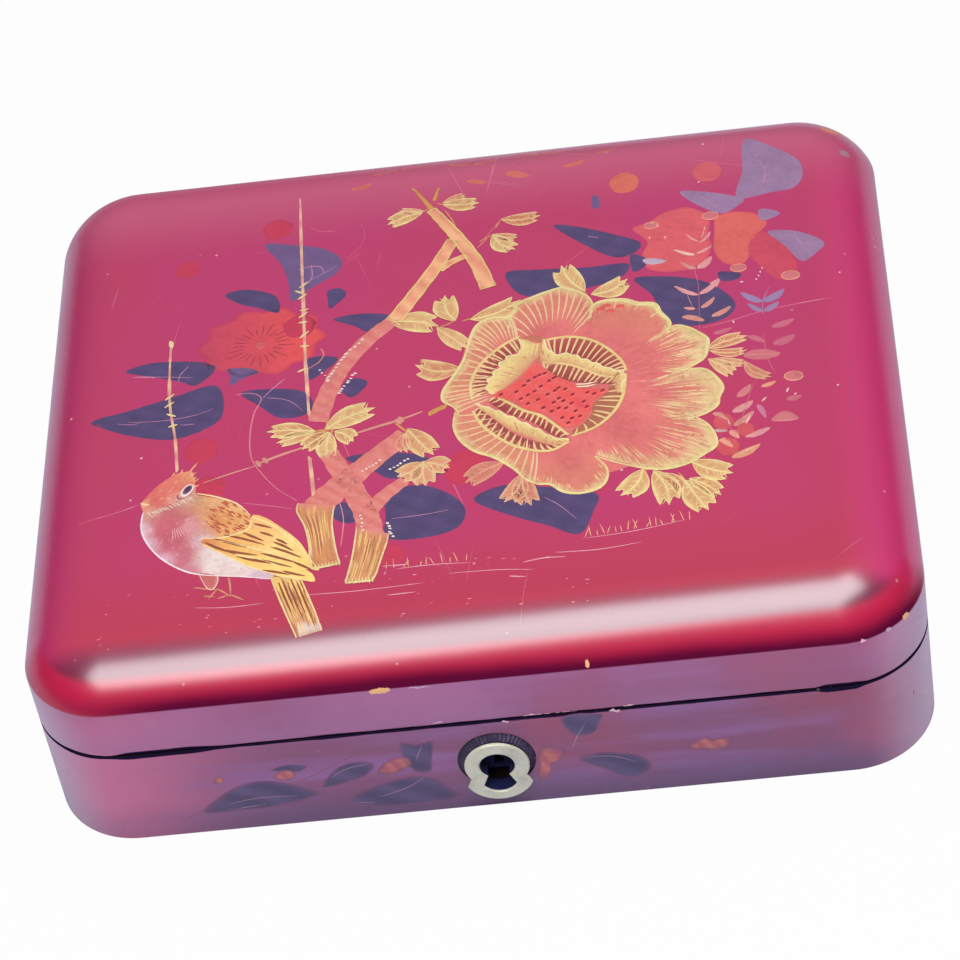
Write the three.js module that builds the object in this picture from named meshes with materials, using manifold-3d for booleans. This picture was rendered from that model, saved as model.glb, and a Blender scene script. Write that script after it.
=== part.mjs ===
import * as THREE from 'three';
import { mergeVertices } from 'three/addons/utils/BufferGeometryUtils.js';
import Module from 'manifold-3d';

// A small lockbox of bent wood under red lacquer, its domed lid hung on two brass butt hinges.
// Millimetres. +X runs to the right along the front, +Y to the hinges, +Z up from the table.

// The wooden carcass
const BOX_WIDTH = 200;
const BOX_DEPTH = 172.5;
const CORNER_RADIUS = 19.5;
const WALL = 7.5;
const BASE_HEIGHT = 27.75;
const PARTING_GAP = 0.5;
const LID_BAND = 12.55;
const DOME_RISE = 11.2;
const DOME_INSET = 17;
const DOME_EDGE_DEGREES = 22;
const DOME_CROWN = 2;
const BOTTOM_THICKNESS = 5;
const BOTTOM_REBATE = 3;
const PANEL_THICKNESS = 7;
const PANEL_TENON = 2;
const HOLLOW_SHOULDER = 3;
const HOLLOW_COVE = 3;
const FOOT_EASE = 0.8;
const RIM_EASE = 0.25;
const LEAST_CORNER = 0.5;

// Room left between pieces: glued or let into wood, working parts, and the pin in its knuckles
const SEAT_GAP = 0.3;
const WORKS_GAP = 0.4;
const PIN_GAP = 0.1;

// The butt hinges: the pin lies inside the back face, and the back edges are bevelled to it,
// so that the bevels meet and stop the open lid
const HINGE_FROM_END = 40;
const HINGE_LENGTH = 24;
const HINGE_INSET = 1.5;
const HINGE_KNUCKLES = 5;
const KNUCKLE_RADIUS = 1.9;
const KNUCKLE_GAP = 0.3;
const PIN_RADIUS = 0.75;
const LEAF_THICKNESS = 1;
const LEAF_SCREW_SPACING = 14;
const LID_STOP_DEGREES = 102;

// Countersunk brass wood screws, the same in hinges, lock and link plate
const SCREW_HEAD_RADIUS = 1.35;
const SCREW_SHANK_RADIUS = 0.7;
const SCREW_LENGTH = 4.6;
const SCREW_SLOT = 0.4;

// The keyhole and its escutcheon, measured from the middle of the round bow
const KEYHOLE_OFFSET = 2.3;
const KEY_DEPTH = 12.65;
const KEYHOLE_BOW = 3.95;
const KEYHOLE_NECK = 2.4;
const KEYHOLE_FLARE_DEGREES = 22;
const KEYHOLE_FOOT_DROP = 8.4;
const KEYHOLE_FOOT_RADIUS = 4.1;
const PLATE_RIM = 3.3;
const PLATE_FOOT_RIM = 2.65;
const PLATE_FOOT_RADIUS = 7.9;
const PLATE_THICKNESS = 0.9;
const PLATE_BEVEL = 0.25;
const PLATE_PROUD = 2.2;
const SPIGOT_WALL = 0.6;
const SPIGOT_IN_WOOD = 1.5;
const COLLAR_MARGIN = 1.2;
const COLLAR_RECESS = 0.6;
const COLLAR_FLUTES = 52;
const FLUTE_DEPTH = 0.22;

// The lock: an L-shaped plate, a sliding bolt on two pillars, and a cap over the works
const LOCK_HEIGHT = 19.5;
const LOCK_EAR = 4.2;
const LOCK_CORNER = 2;
const LOCK_PLATE = 1;
const SELVEDGE_WIDTH = 5.5;
const SELVEDGE_THICKNESS = 1;
const CAP_THICKNESS = 0.8;
const CAP_MARGIN = 1.2;
const LOCK_SCREW_RISE = 5;
const PILLAR_SPACING = 26;
const PILLAR_RADIUS = 1.5;
const PILLAR_TIP_RADIUS = 0.8;
const DRILL_PIN_RADIUS = 0.9;
const KEY_REACH = 5.2;
const WARD_RADIUS = 3.6;
const WARD_WALL = 0.6;
const WARD_HEIGHT = 1;
const LOCK_KEY_BOW = 2.5;
const LOCK_KEY_SLOT = 1.1;
const BOLT_THICKNESS = 1.6;
const BOLT_TRAVEL = 3;
const BOLT_RISE = 2.9;
const BOLT_END = 2.1;
const TALON_WIDTH = 4;
const SPRING_THICKNESS = 0.4;
const SPRING_ARCH = 0.7;

// The link plate under the lid and its two hooks, which the bolt slides over
const LINK_LENGTH = 36;
const LINK_THICKNESS = 1.2;
const LINK_SCREW_MARGIN = 2.6;
const HOOK_SPACING = 18;
const HOOK_STEM = 2;
const HOOK_REACH = 6.65;
const HOOK_FOOT = 1.6;
const HOOK_CLEARANCE = 0.35;

// Fineness of the round work
const CORNER_STEPS = 8;
const DOME_STEPS = 8;
const CROWN_STEPS = 4;
const ARC_STEPS = 6;
const ROUND_SIDES = 16;
const COVE_STEPS = 3;
const LOCK_CORNER_STEPS = 2;
const SAME_POINT = 1e-6;

// Places worked out from the sizes above
const RIGHT_ANGLE = Math.PI / 2;
const LID_FLOOR = BASE_HEIGHT + PARTING_GAP;
const LID_ARRIS = LID_FLOOR + LID_BAND;
const PANEL_FLOOR = LID_ARRIS + SEAT_GAP;
const HINGE_X = BOX_WIDTH / 2 - HINGE_FROM_END;
const PIN_Y = BOX_DEPTH / 2 - HINGE_INSET;
const PIN_Z = BASE_HEIGHT + PARTING_GAP / 2;
const KEY_HEIGHT = BASE_HEIGHT - KEY_DEPTH;
const BOLT_BACK = LOCK_PLATE + WORKS_GAP;
const CAP_BACK = BOLT_BACK + BOLT_THICKNESS + WORKS_GAP;
const WORKS_DEPTH = CAP_BACK + CAP_THICKNESS;
const BOLT_TOP = BASE_HEIGHT - SELVEDGE_THICKNESS - WORKS_GAP;
const BOLT_FLOOR = KEY_HEIGHT + BOLT_RISE;
const BOLT_FRONT = BOLT_BACK + BOLT_THICKNESS;
const HOOK_TIP = LID_FLOOR - HOOK_REACH;
const HOOK_FOOT_TOP = HOOK_TIP + HOOK_FOOT;
const MOUTH_REACH = HOOK_STEM / 2 + BOLT_TRAVEL + HOOK_CLEARANCE;
const WORKS_HALF = HOOK_SPACING / 2 + MOUTH_REACH + BOLT_TRAVEL + BOLT_END;
const LOCK_HALF = WORKS_HALF + WORKS_GAP + LOCK_EAR;
const LEAF_REACH = WALL - HINGE_INSET;
const THROUGH = 5;

// Solids for cutting and joining

const wasm = await Module();
wasm.setup();

function toSolid(geometry) {
  const bare = geometry.clone();
  bare.deleteAttribute('normal');
  bare.deleteAttribute('uv');
  const merged = mergeVertices(bare);
  const mesh = new wasm.Mesh({
    numProp: 3,
    vertProperties: merged.attributes.position.array,
    triVerts: new Uint32Array(merged.index.array),
  });
  return new wasm.Manifold(mesh);
}

function toGeometry(solid) {
  const mesh = solid.getMesh();
  const geometry = new THREE.BufferGeometry();
  geometry.setAttribute('position', new THREE.BufferAttribute(mesh.vertProperties, 3));
  geometry.setIndex(new THREE.BufferAttribute(mesh.triVerts, 1));
  geometry.computeVertexNormals();
  return geometry;
}

function join(body, pieces) {
  return pieces.reduce((whole, piece) => whole.add(toSolid(piece)), body);
}

function cut(body, pieces) {
  return pieces.reduce((whole, piece) => whole.subtract(toSolid(piece)), body);
}

// Shapes used by several pieces

// The plan outline of the box, drawn in by an inset on every side.
function boxOutline(inset) {
  const radius = Math.max(CORNER_RADIUS - inset, LEAST_CORNER);
  return roundedRectangle(BOX_WIDTH / 2 - inset, BOX_DEPTH / 2 - inset, radius);
}

function roundedRectangle(halfWidth, halfHeight, radius) {
  const x = halfWidth - radius;
  const y = halfHeight - radius;
  const shape = new THREE.Shape();
  shape.absarc(x, y, radius, 0, RIGHT_ANGLE);
  shape.absarc(-x, y, radius, RIGHT_ANGLE, 2 * RIGHT_ANGLE);
  shape.absarc(-x, -y, radius, 2 * RIGHT_ANGLE, 3 * RIGHT_ANGLE);
  shape.absarc(x, -y, radius, 3 * RIGHT_ANGLE, 4 * RIGHT_ANGLE);
  return shape;
}

function polygon(corners) {
  return new THREE.Shape(corners.map(([x, y]) => new THREE.Vector2(x, y)));
}

function slab(shape, low, high, steps = CORNER_STEPS) {
  const options = { depth: high - low, bevelEnabled: false, curveSegments: steps };
  return new THREE.ExtrudeGeometry(shape, options).translate(0, 0, low);
}

// A prism along X with its outline given in Y and Z.
function barOfOutline(corners, x0, x1) {
  return slab(polygon(corners), x0, x1).rotateX(RIGHT_ANGLE).rotateZ(RIGHT_ANGLE);
}

function block(x0, x1, y0, y1, z0, z1) {
  const box = new THREE.BoxGeometry(x1 - x0, y1 - y0, z1 - z0);
  return box.translate((x0 + x1) / 2, (y0 + y1) / 2, (z0 + z1) / 2);
}

// A round bar along X, about the X axis.
function barAlongX(radius, x0, x1) {
  const bar = new THREE.CylinderGeometry(radius, radius, x1 - x0, ROUND_SIDES);
  return bar.rotateZ(RIGHT_ANGLE).translate((x0 + x1) / 2, 0, 0);
}

// A round bar along Z.
function barAlongZ(radius, x, y, z0, z1) {
  const bar = new THREE.CylinderGeometry(radius, radius, z1 - z0, ROUND_SIDES);
  return bar.rotateX(RIGHT_ANGLE).translate(x, y, (z0 + z1) / 2);
}

// One closed level of a lofted body: the outline's points, each raised by a height rule.
function level(shape, height) {
  const points = shape.getPoints(CORNER_STEPS);
  if (points[0].distanceTo(points[points.length - 1]) < SAME_POINT) {
    points.pop();
  }
  return points.map((p) => new THREE.Vector3(p.x, p.y, height(p)));
}

// A closed body through a stack of levels with equal numbers of points, lowest first.
// An apex, where there is one, closes the top with a fan.
function loft(levels, apex = null) {
  const count = levels[0].length;
  const points = levels.flat();
  const faces = [];
  for (let low = 0; low < levels.length - 1; low++) {
    for (let k = 0; k < count; k++) {
      const a = low * count + k;
      const b = low * count + ((k + 1) % count);
      faces.push(a, b, b + count, a, b + count, a + count);
    }
  }
  const floor = levels[0].map((p) => new THREE.Vector2(p.x, p.y));
  const topStart = (levels.length - 1) * count;
  for (const [a, b, c] of THREE.ShapeUtils.triangulateShape(floor, [])) {
    faces.push(c, b, a);
    if (!apex) {
      faces.push(topStart + a, topStart + b, topStart + c);
    }
  }
  if (apex) {
    points.push(apex);
    for (let k = 0; k < count; k++) {
      faces.push(topStart + k, topStart + ((k + 1) % count), points.length - 1);
    }
  }
  const geometry = new THREE.BufferGeometry().setFromPoints(points);
  geometry.setIndex(faces);
  geometry.computeVertexNormals();
  return geometry;
}

// Screws point down -Z with the head's face at zero; their seats follow the same profile.
function screwProfile(room) {
  const head = SCREW_HEAD_RADIUS + room;
  const shank = SCREW_SHANK_RADIUS + room;
  return { head, shank, cone: head - shank };
}

function screwGeometry() {
  const { head, shank, cone } = screwProfile(0);
  const profile = [
    [0, -SCREW_LENGTH],
    [shank, -SCREW_LENGTH + 2 * shank],
    [shank, -cone],
    [head, 0],
    [0, 0],
  ];
  const points = profile.map(([r, z]) => new THREE.Vector2(r, z));
  const turned = new THREE.LatheGeometry(points, ROUND_SIDES).rotateX(RIGHT_ANGLE);
  const slot = block(-2 * head, 2 * head, -SCREW_SLOT / 2, SCREW_SLOT / 2, -SCREW_SLOT, SCREW_SLOT);
  return toGeometry(cut(toSolid(turned), [slot]));
}

// The countersunk hole that a screw needs through metal and into wood.
function screwSeat() {
  const { head, shank, cone } = screwProfile(SEAT_GAP / 2);
  const profile = [
    [0, -SCREW_LENGTH - SEAT_GAP],
    [shank, -SCREW_LENGTH - SEAT_GAP],
    [shank, -cone],
    [head, 0],
    [head, SCREW_HEAD_RADIUS],
    [0, SCREW_HEAD_RADIUS],
  ];
  const points = profile.map(([r, z]) => new THREE.Vector2(r, z));
  return new THREE.LatheGeometry(points, ROUND_SIDES).rotateX(RIGHT_ANGLE);
}

// The finishes
const red = { color: 0x9c1f3a, roughness: 0.22, metalness: 0 };
const black = { color: 0x1a1214, roughness: 0.3, metalness: 0 };
const brass = { color: 0xb08a45, roughness: 0.38, metalness: 1 };
const steel = { color: 0x6d6a66, roughness: 0.42, metalness: 1 };
const nickel = { color: 0xcfccbd, roughness: 0.35, metalness: 0.7 };
const patina = { color: 0x4b4560, roughness: 0.5, metalness: 0.6 };

function piece(name, geometry, finish) {
  const mesh = new THREE.Mesh(geometry, new THREE.MeshStandardMaterial(finish));
  mesh.name = name;
  return mesh;
}

// The lock's own frame: X as the box's, Y up, Z from the front wall's inner face to the outside.
function lockFrame() {
  const frame = new THREE.Group();
  frame.position.set(KEYHOLE_OFFSET, WALL - BOX_DEPTH / 2, 0);
  frame.rotation.x = RIGHT_ANGLE;
  frame.updateMatrix();
  return frame;
}

function inLockFrame(geometry) {
  return geometry.applyMatrix4(lockFrame().matrix);
}

const hingeSides = [
  { side: 'left', x: -HINGE_X },
  { side: 'right', x: HINGE_X },
];

// A keyhole outline about the bow's middle: a round bow, straight flared flanks and an arched foot.
// It grows outwards by grow; the foot is an arc of its own radius at its own drop.
function keyholeOutline(grow, footDrop, footRadius) {
  const flare = THREE.MathUtils.degToRad(KEYHOLE_FLARE_DEGREES);
  const out = new THREE.Vector2(Math.cos(flare), Math.sin(flare));
  const down = new THREE.Vector2(Math.sin(flare), -Math.cos(flare));
  const neck = new THREE.Vector2(KEYHOLE_NECK, -Math.sqrt(KEYHOLE_BOW ** 2 - KEYHOLE_NECK ** 2));
  const offset = out.dot(neck) + grow;
  const bow = KEYHOLE_BOW + grow;
  const flankMeets = (centreY, radius) => {
    const centre = new THREE.Vector2(0, centreY);
    const along = down.dot(centre) + Math.sqrt(radius ** 2 - (offset - out.dot(centre)) ** 2);
    return out.clone().multiplyScalar(offset).addScaledVector(down, along);
  };
  const top = flankMeets(0, bow);
  const footCentre = footRadius - footDrop;
  const corner = flankMeets(footCentre, footRadius);
  const bowAngle = Math.atan2(top.y, top.x);
  const footAngle = Math.atan2(corner.y - footCentre, corner.x);
  const shape = new THREE.Shape();
  shape.absarc(0, 0, bow, bowAngle, Math.PI - bowAngle);
  shape.absarc(0, footCentre, footRadius, -Math.PI - footAngle, footAngle);
  return shape;
}

function keyhole(grow) {
  return keyholeOutline(grow, KEYHOLE_FOOT_DROP + grow, KEYHOLE_FOOT_RADIUS + grow);
}

// The hinges. Each half of the box has its leaf: side is -1 for the base and 1 for the lid. Hinge
// pieces and their cuts are drawn about the pin's line and then moved to each hinge.

function leafScrewPlaces() {
  const y = -(LEAF_REACH + KNUCKLE_RADIUS) / 2;
  return [-LEAF_SCREW_SPACING / 2, LEAF_SCREW_SPACING / 2].map((x) => ({ x, y }));
}

function leafScrewSeats(side) {
  return leafScrewPlaces().map(({ x, y }) => {
    const seat = screwSeat();
    if (side > 0) {
      seat.rotateX(Math.PI);
    }
    return seat.translate(x, y, side * PARTING_GAP / 2);
  });
}

function hingeLeaf(side) {
  const end = HINGE_LENGTH / 2;
  const faces = [side * PARTING_GAP / 2, side * (PARTING_GAP / 2 + LEAF_THICKNESS)];
  const plate = block(-end, end, -LEAF_REACH, 0, Math.min(...faces), Math.max(...faces));
  const length = HINGE_LENGTH / HINGE_KNUCKLES;
  const barrels = [];
  const notches = [];
  for (let k = 0; k < HINGE_KNUCKLES; k++) {
    const start = -end + k * length;
    const room = KNUCKLE_GAP / 2;
    const ofBase = k % 2 === 0;
    if (ofBase === (side < 0)) {
      barrels.push(barAlongX(KNUCKLE_RADIUS, start + room, start + length - room));
    } else {
      const back = -KNUCKLE_RADIUS - KNUCKLE_GAP;
      notches.push(block(start - room, start + length + room, back, THROUGH, -THROUGH, THROUGH));
    }
  }
  const bore = barAlongX(PIN_RADIUS + PIN_GAP, -HINGE_LENGTH, HINGE_LENGTH);
  const leaf = join(cut(toSolid(plate), notches), barrels);
  return toGeometry(cut(leaf, [bore, ...leafScrewSeats(side)]));
}

function hingeCuts(side) {
  const end = HINGE_LENGTH / 2 + SEAT_GAP;
  const depth = side * (PARTING_GAP / 2 + LEAF_THICKNESS + SEAT_GAP);
  const heights = [depth, -side * THROUGH];
  const mortise = block(-end, end, -WALL, 0, Math.min(...heights), Math.max(...heights));
  const barrel = barAlongX(KNUCKLE_RADIUS + SEAT_GAP, -end, end);
  const cuts = [mortise, barrel, ...leafScrewSeats(side)];
  return hingeSides.flatMap(({ x }) => cuts.map((c) => c.clone().translate(x, PIN_Y, PIN_Z)));
}

// The bevel along the back edge, from the pin's line out to the back face.
function backBevel(side) {
  const reach = HINGE_INSET + THROUGH;
  const fall = side * reach * Math.tan(THREE.MathUtils.degToRad(LID_STOP_DEGREES / 2));
  const wedge = barOfOutline([[0, 0], [reach, 0], [reach, fall]], -BOX_WIDTH, BOX_WIDTH);
  return wedge.translate(0, PIN_Y, PIN_Z);
}

// The base

// One bent ring of the wall, with its outer edges eased.
function wallRing(floor, top, floorEase, topEase) {
  const outside = loft([
    level(boxOutline(floorEase), () => floor),
    level(boxOutline(0), () => floor + floorEase),
    level(boxOutline(0), () => top - topEase),
    level(boxOutline(topEase), () => top),
  ]);
  const inside = slab(boxOutline(WALL), floor - THROUGH, top + THROUGH);
  return cut(toSolid(outside), [inside]);
}

function baseWallRing() {
  const ring = wallRing(0, BASE_HEIGHT, FOOT_EASE, RIM_EASE);
  const rebate = slab(boxOutline(WALL - BOTTOM_REBATE), -THROUGH, BOTTOM_THICKNESS + SEAT_GAP);
  const lockCuts = lockPockets().map(inLockFrame);
  return toGeometry(cut(ring, [rebate, backBevel(-1), ...hingeCuts(-1), ...lockCuts]));
}

function baseBottomBoard() {
  return slab(boxOutline(WALL - BOTTOM_REBATE + SEAT_GAP), 0, BOTTOM_THICKNESS);
}

// What the lock, the keyhole and the escutcheon take out of the front wall, in the lock's frame.
function lockPockets() {
  const half = LOCK_HALF + SEAT_GAP;
  const works = WORKS_HALF + WORKS_GAP;
  const top = BASE_HEIGHT + THROUGH;
  const selvedgeFloor = BASE_HEIGHT - SELVEDGE_THICKNESS - SEAT_GAP;
  const plateFloor = BASE_HEIGHT - LOCK_HEIGHT - SEAT_GAP;
  const capFloor = KEY_HEIGHT - KEY_REACH - CAP_MARGIN - SEAT_GAP;
  const wood = keyhole(SPIGOT_WALL + SEAT_GAP);
  const collar = plateBow() + COLLAR_MARGIN + SEAT_GAP;
  return [
    block(-half, half, plateFloor, top, -THROUGH, LOCK_PLATE + SEAT_GAP),
    block(-half, half, selvedgeFloor, top, -THROUGH, SELVEDGE_WIDTH + SEAT_GAP),
    block(-works, works, capFloor, top, -THROUGH, WORKS_DEPTH + SEAT_GAP),
    slab(wood, 0, WALL + THROUGH, ARC_STEPS).translate(0, KEY_HEIGHT, 0),
    barAlongZ(collar, 0, KEY_HEIGHT, WALL - COLLAR_RECESS, WALL + THROUGH),
    ...lockScrewPlaces().map(({ x, y }) => screwSeat().rotateX(Math.PI).translate(x, y, 0)),
  ];
}

// The lid

function lidRimRing() {
  const ring = wallRing(LID_FLOOR, LID_ARRIS, RIM_EASE, RIM_EASE);
  const half = LINK_LENGTH / 2 + SEAT_GAP;
  const ceiling = LID_FLOOR + LINK_THICKNESS + SEAT_GAP;
  const linkCuts = [
    block(-half, half, LID_FLOOR - THROUGH, ceiling, -THROUGH, SELVEDGE_WIDTH + SEAT_GAP),
    ...linkScrewSeats(),
  ];
  return toGeometry(cut(ring, [backBevel(1), ...hingeCuts(1), ...linkCuts.map(inLockFrame)]));
}

// The levels of the roll-over, from the arris to the shoulder of the crown. Its profile is the
// part of an ellipse that leaves the arris at a tilt and ends level.
function rollOver() {
  const tilt = Math.tan(THREE.MathUtils.degToRad(DOME_EDGE_DEGREES));
  const start = Math.asin(tilt / (DOME_INSET / DOME_RISE - tilt));
  const reach = DOME_INSET / Math.cos(start);
  const height = DOME_RISE / (1 - Math.sin(start));
  const levels = [];
  for (let k = 0; k <= DOME_STEPS; k++) {
    const turn = start + (RIGHT_ANGLE - start) * k / DOME_STEPS;
    const inset = reach * (Math.cos(start) - Math.cos(turn));
    const rise = height * (Math.sin(turn) - Math.sin(start));
    levels.push(level(boxOutline(inset), () => PANEL_FLOOR + rise));
  }
  return levels;
}

// The top board: the roll-over, a slight crown, a tenon that enters the ring and a coved hollow
// underneath.
function lidTopPanel() {
  const levels = rollOver();
  const halfX = BOX_WIDTH / 2 - DOME_INSET;
  const halfY = BOX_DEPTH / 2 - DOME_INSET;
  const crown = (p) => DOME_CROWN * (1 - (p.x / halfX) ** 2) * (1 - (p.y / halfY) ** 2);
  const shoulder = levels[DOME_STEPS];
  for (let k = 1; k < CROWN_STEPS; k++) {
    const share = 1 - k / CROWN_STEPS;
    const ring = shoulder.map((p) => new THREE.Vector3(p.x * share, p.y * share, p.z));
    levels.push(ring.map((p) => p.setZ(p.z + crown(p))));
  }
  const top = PANEL_FLOOR + DOME_RISE + DOME_CROWN;
  const board = toSolid(loft(levels, new THREE.Vector3(0, 0, top)));
  const tenonFloor = PANEL_FLOOR - PANEL_TENON;
  const tenon = slab(boxOutline(WALL + SEAT_GAP), tenonFloor, PANEL_FLOOR + DOME_RISE / 2);
  const hollow = new THREE.ExtrudeGeometry(boxOutline(WALL + HOLLOW_SHOULDER), {
    depth: top - PANEL_THICKNESS - HOLLOW_COVE - tenonFloor + THROUGH,
    bevelThickness: HOLLOW_COVE,
    bevelSize: HOLLOW_COVE,
    bevelOffset: -HOLLOW_COVE,
    bevelSegments: COVE_STEPS,
    curveSegments: CORNER_STEPS,
  });
  hollow.translate(0, 0, tenonFloor - THROUGH);
  return toGeometry(cut(join(board, [tenon]), [hollow]));
}

// The escutcheon, in the lock's frame: a pale keyhole plate over a dark fluted collar

function plateBow() {
  return KEYHOLE_BOW + PLATE_RIM;
}

function escutcheonPlate() {
  const plateFoot = KEYHOLE_FOOT_DROP + PLATE_FOOT_RIM;
  const flange = keyholeOutline(PLATE_RIM, plateFoot, PLATE_FOOT_RADIUS);
  flange.holes.push(keyhole(0));
  const front = WALL + PLATE_PROUD;
  const face = new THREE.ExtrudeGeometry(flange, {
    depth: PLATE_THICKNESS - 2 * PLATE_BEVEL,
    bevelThickness: PLATE_BEVEL,
    bevelSize: PLATE_BEVEL,
    bevelOffset: -PLATE_BEVEL,
    bevelSegments: 1,
    curveSegments: 2 * ARC_STEPS,
  });
  face.translate(0, KEY_HEIGHT, front - PLATE_THICKNESS + PLATE_BEVEL);
  const sleeve = keyhole(SPIGOT_WALL);
  sleeve.holes.push(keyhole(0));
  const spigot = slab(sleeve, WALL - SPIGOT_IN_WOOD, front - PLATE_THICKNESS / 2, 2 * ARC_STEPS);
  return toGeometry(join(toSolid(face), [spigot.translate(0, KEY_HEIGHT, 0)]));
}

function escutcheonCollar() {
  const floor = WALL - COLLAR_RECESS + SEAT_GAP;
  const top = WALL + PLATE_PROUD - PLATE_THICKNESS - SEAT_GAP;
  const fluted = (radius, z) => {
    const ring = [];
    for (let k = 0; k < 2 * COLLAR_FLUTES; k++) {
      const turn = Math.PI * k / COLLAR_FLUTES;
      const reach = radius - (k % 2) * FLUTE_DEPTH;
      ring.push(new THREE.Vector3(reach * Math.cos(turn), reach * Math.sin(turn), z));
    }
    return ring;
  };
  const cone = loft([fluted(plateBow() + COLLAR_MARGIN, floor), fluted(plateBow(), top)]);
  const bore = slab(keyhole(SPIGOT_WALL + SEAT_GAP), -THROUGH, 2 * THROUGH + WALL, 2 * ARC_STEPS);
  const collar = cut(toSolid(cone), [bore]);
  return toGeometry(collar).translate(0, KEY_HEIGHT, 0);
}

// The lock, in its own frame

function lockScrewPlaces() {
  const x = LOCK_HALF - LOCK_EAR / 2;
  const low = BASE_HEIGHT - LOCK_HEIGHT + LOCK_SCREW_RISE;
  const high = BASE_HEIGHT - LOCK_SCREW_RISE;
  return [{ x: -x, y: low }, { x: -x, y: high }, { x, y: low }, { x, y: high }];
}

function hookPlaces() {
  return [-HOOK_SPACING / 2, HOOK_SPACING / 2];
}

// The plate with its selvedge, two pillars for the bolt and cap, the drill pin and a split ward.
function lockPlate() {
  const plateOutline = roundedRectangle(LOCK_HALF, LOCK_HEIGHT / 2, LOCK_CORNER);
  const plate = slab(plateOutline, 0, LOCK_PLATE, LOCK_CORNER_STEPS);
  plate.translate(0, BASE_HEIGHT - LOCK_HEIGHT / 2, 0);
  const selvedgeFloor = BASE_HEIGHT - SELVEDGE_THICKNESS;
  const parts = [
    block(-LOCK_HALF, LOCK_HALF, selvedgeFloor, BASE_HEIGHT, 0, SELVEDGE_WIDTH),
    block(-LOCK_HALF, LOCK_HALF, BASE_HEIGHT - LOCK_CORNER, BASE_HEIGHT, 0, LOCK_PLATE),
    barAlongZ(DRILL_PIN_RADIUS, 0, KEY_HEIGHT, LOCK_PLATE / 2, WORKS_DEPTH),
  ];
  const pillarY = BOLT_FLOOR - WORKS_GAP - PILLAR_RADIUS;
  for (const x of [-PILLAR_SPACING / 2, PILLAR_SPACING / 2]) {
    parts.push(barAlongZ(PILLAR_RADIUS, x, pillarY, LOCK_PLATE / 2, CAP_BACK - SEAT_GAP));
    parts.push(barAlongZ(PILLAR_TIP_RADIUS, x, pillarY, LOCK_PLATE / 2, WORKS_DEPTH));
  }
  const wardTop = LOCK_PLATE + WARD_HEIGHT;
  const wardOuter = barAlongZ(WARD_RADIUS + WARD_WALL, 0, KEY_HEIGHT, LOCK_PLATE / 2, wardTop);
  const slotHalf = LOCK_KEY_SLOT + HOOK_CLEARANCE;
  const ward = cut(toSolid(wardOuter), [
    barAlongZ(WARD_RADIUS, 0, KEY_HEIGHT, 0, WALL),
    block(-THROUGH, THROUGH, KEY_HEIGHT, KEY_HEIGHT + 2 * THROUGH, 0, WALL),
    block(-slotHalf, slotHalf, KEY_HEIGHT - 2 * THROUGH, KEY_HEIGHT, 0, WALL),
  ]);
  const hookSlots = hookPlaces().map((x) => {
    const left = x - MOUTH_REACH;
    const right = x + HOOK_STEM / 2 + HOOK_CLEARANCE;
    const back = BOLT_BACK - HOOK_CLEARANCE;
    const front = BOLT_FRONT + HOOK_CLEARANCE;
    return block(left, right, selvedgeFloor - HOOK_CLEARANCE, BASE_HEIGHT + THROUGH, back, front);
  });
  const seats = lockScrewPlaces().map(({ x, y }) => {
    return screwSeat().rotateX(Math.PI).translate(x, y, 0);
  });
  return toGeometry(cut(join(toSolid(plate), parts).add(ward), [...hookSlots, ...seats]));
}

// The cap closes the works towards the keyhole; the pillars' tips are riveted through it.
function lockCap() {
  const floor = KEY_HEIGHT - KEY_REACH - CAP_MARGIN;
  const top = BASE_HEIGHT - SELVEDGE_THICKNESS - SEAT_GAP;
  const outline = roundedRectangle(WORKS_HALF, (top - floor) / 2, LOCK_CORNER);
  const cap = slab(outline, CAP_BACK, WORKS_DEPTH, LOCK_CORNER_STEPS);
  cap.translate(0, (top + floor) / 2, 0);
  const pillarY = BOLT_FLOOR - WORKS_GAP - PILLAR_RADIUS;
  const hole = PILLAR_TIP_RADIUS + SEAT_GAP;
  return toGeometry(cut(toSolid(cap), [
    barAlongZ(hole, -PILLAR_SPACING / 2, pillarY, 0, WALL),
    barAlongZ(hole, PILLAR_SPACING / 2, pillarY, 0, WALL),
    barAlongZ(LOCK_KEY_BOW, 0, KEY_HEIGHT, 0, WALL),
    block(-LOCK_KEY_SLOT, LOCK_KEY_SLOT, KEY_HEIGHT - KEY_REACH, KEY_HEIGHT, 0, WALL),
  ]));
}

// The bolt's top has a mouth over each hook, undercut to one side, so that it slides over the
// hook's foot; the key turns in the talon below, and a back spring lies in the recess above.
function springBay() {
  const [left, right] = hookPlaces();
  return {
    start: left + HOOK_STEM / 2 + HOOK_CLEARANCE + BOLT_END,
    end: right - MOUTH_REACH - BOLT_TRAVEL - BOLT_END,
    floor: BOLT_TOP - SPRING_THICKNESS - SPRING_ARCH - SEAT_GAP,
  };
}

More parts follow.
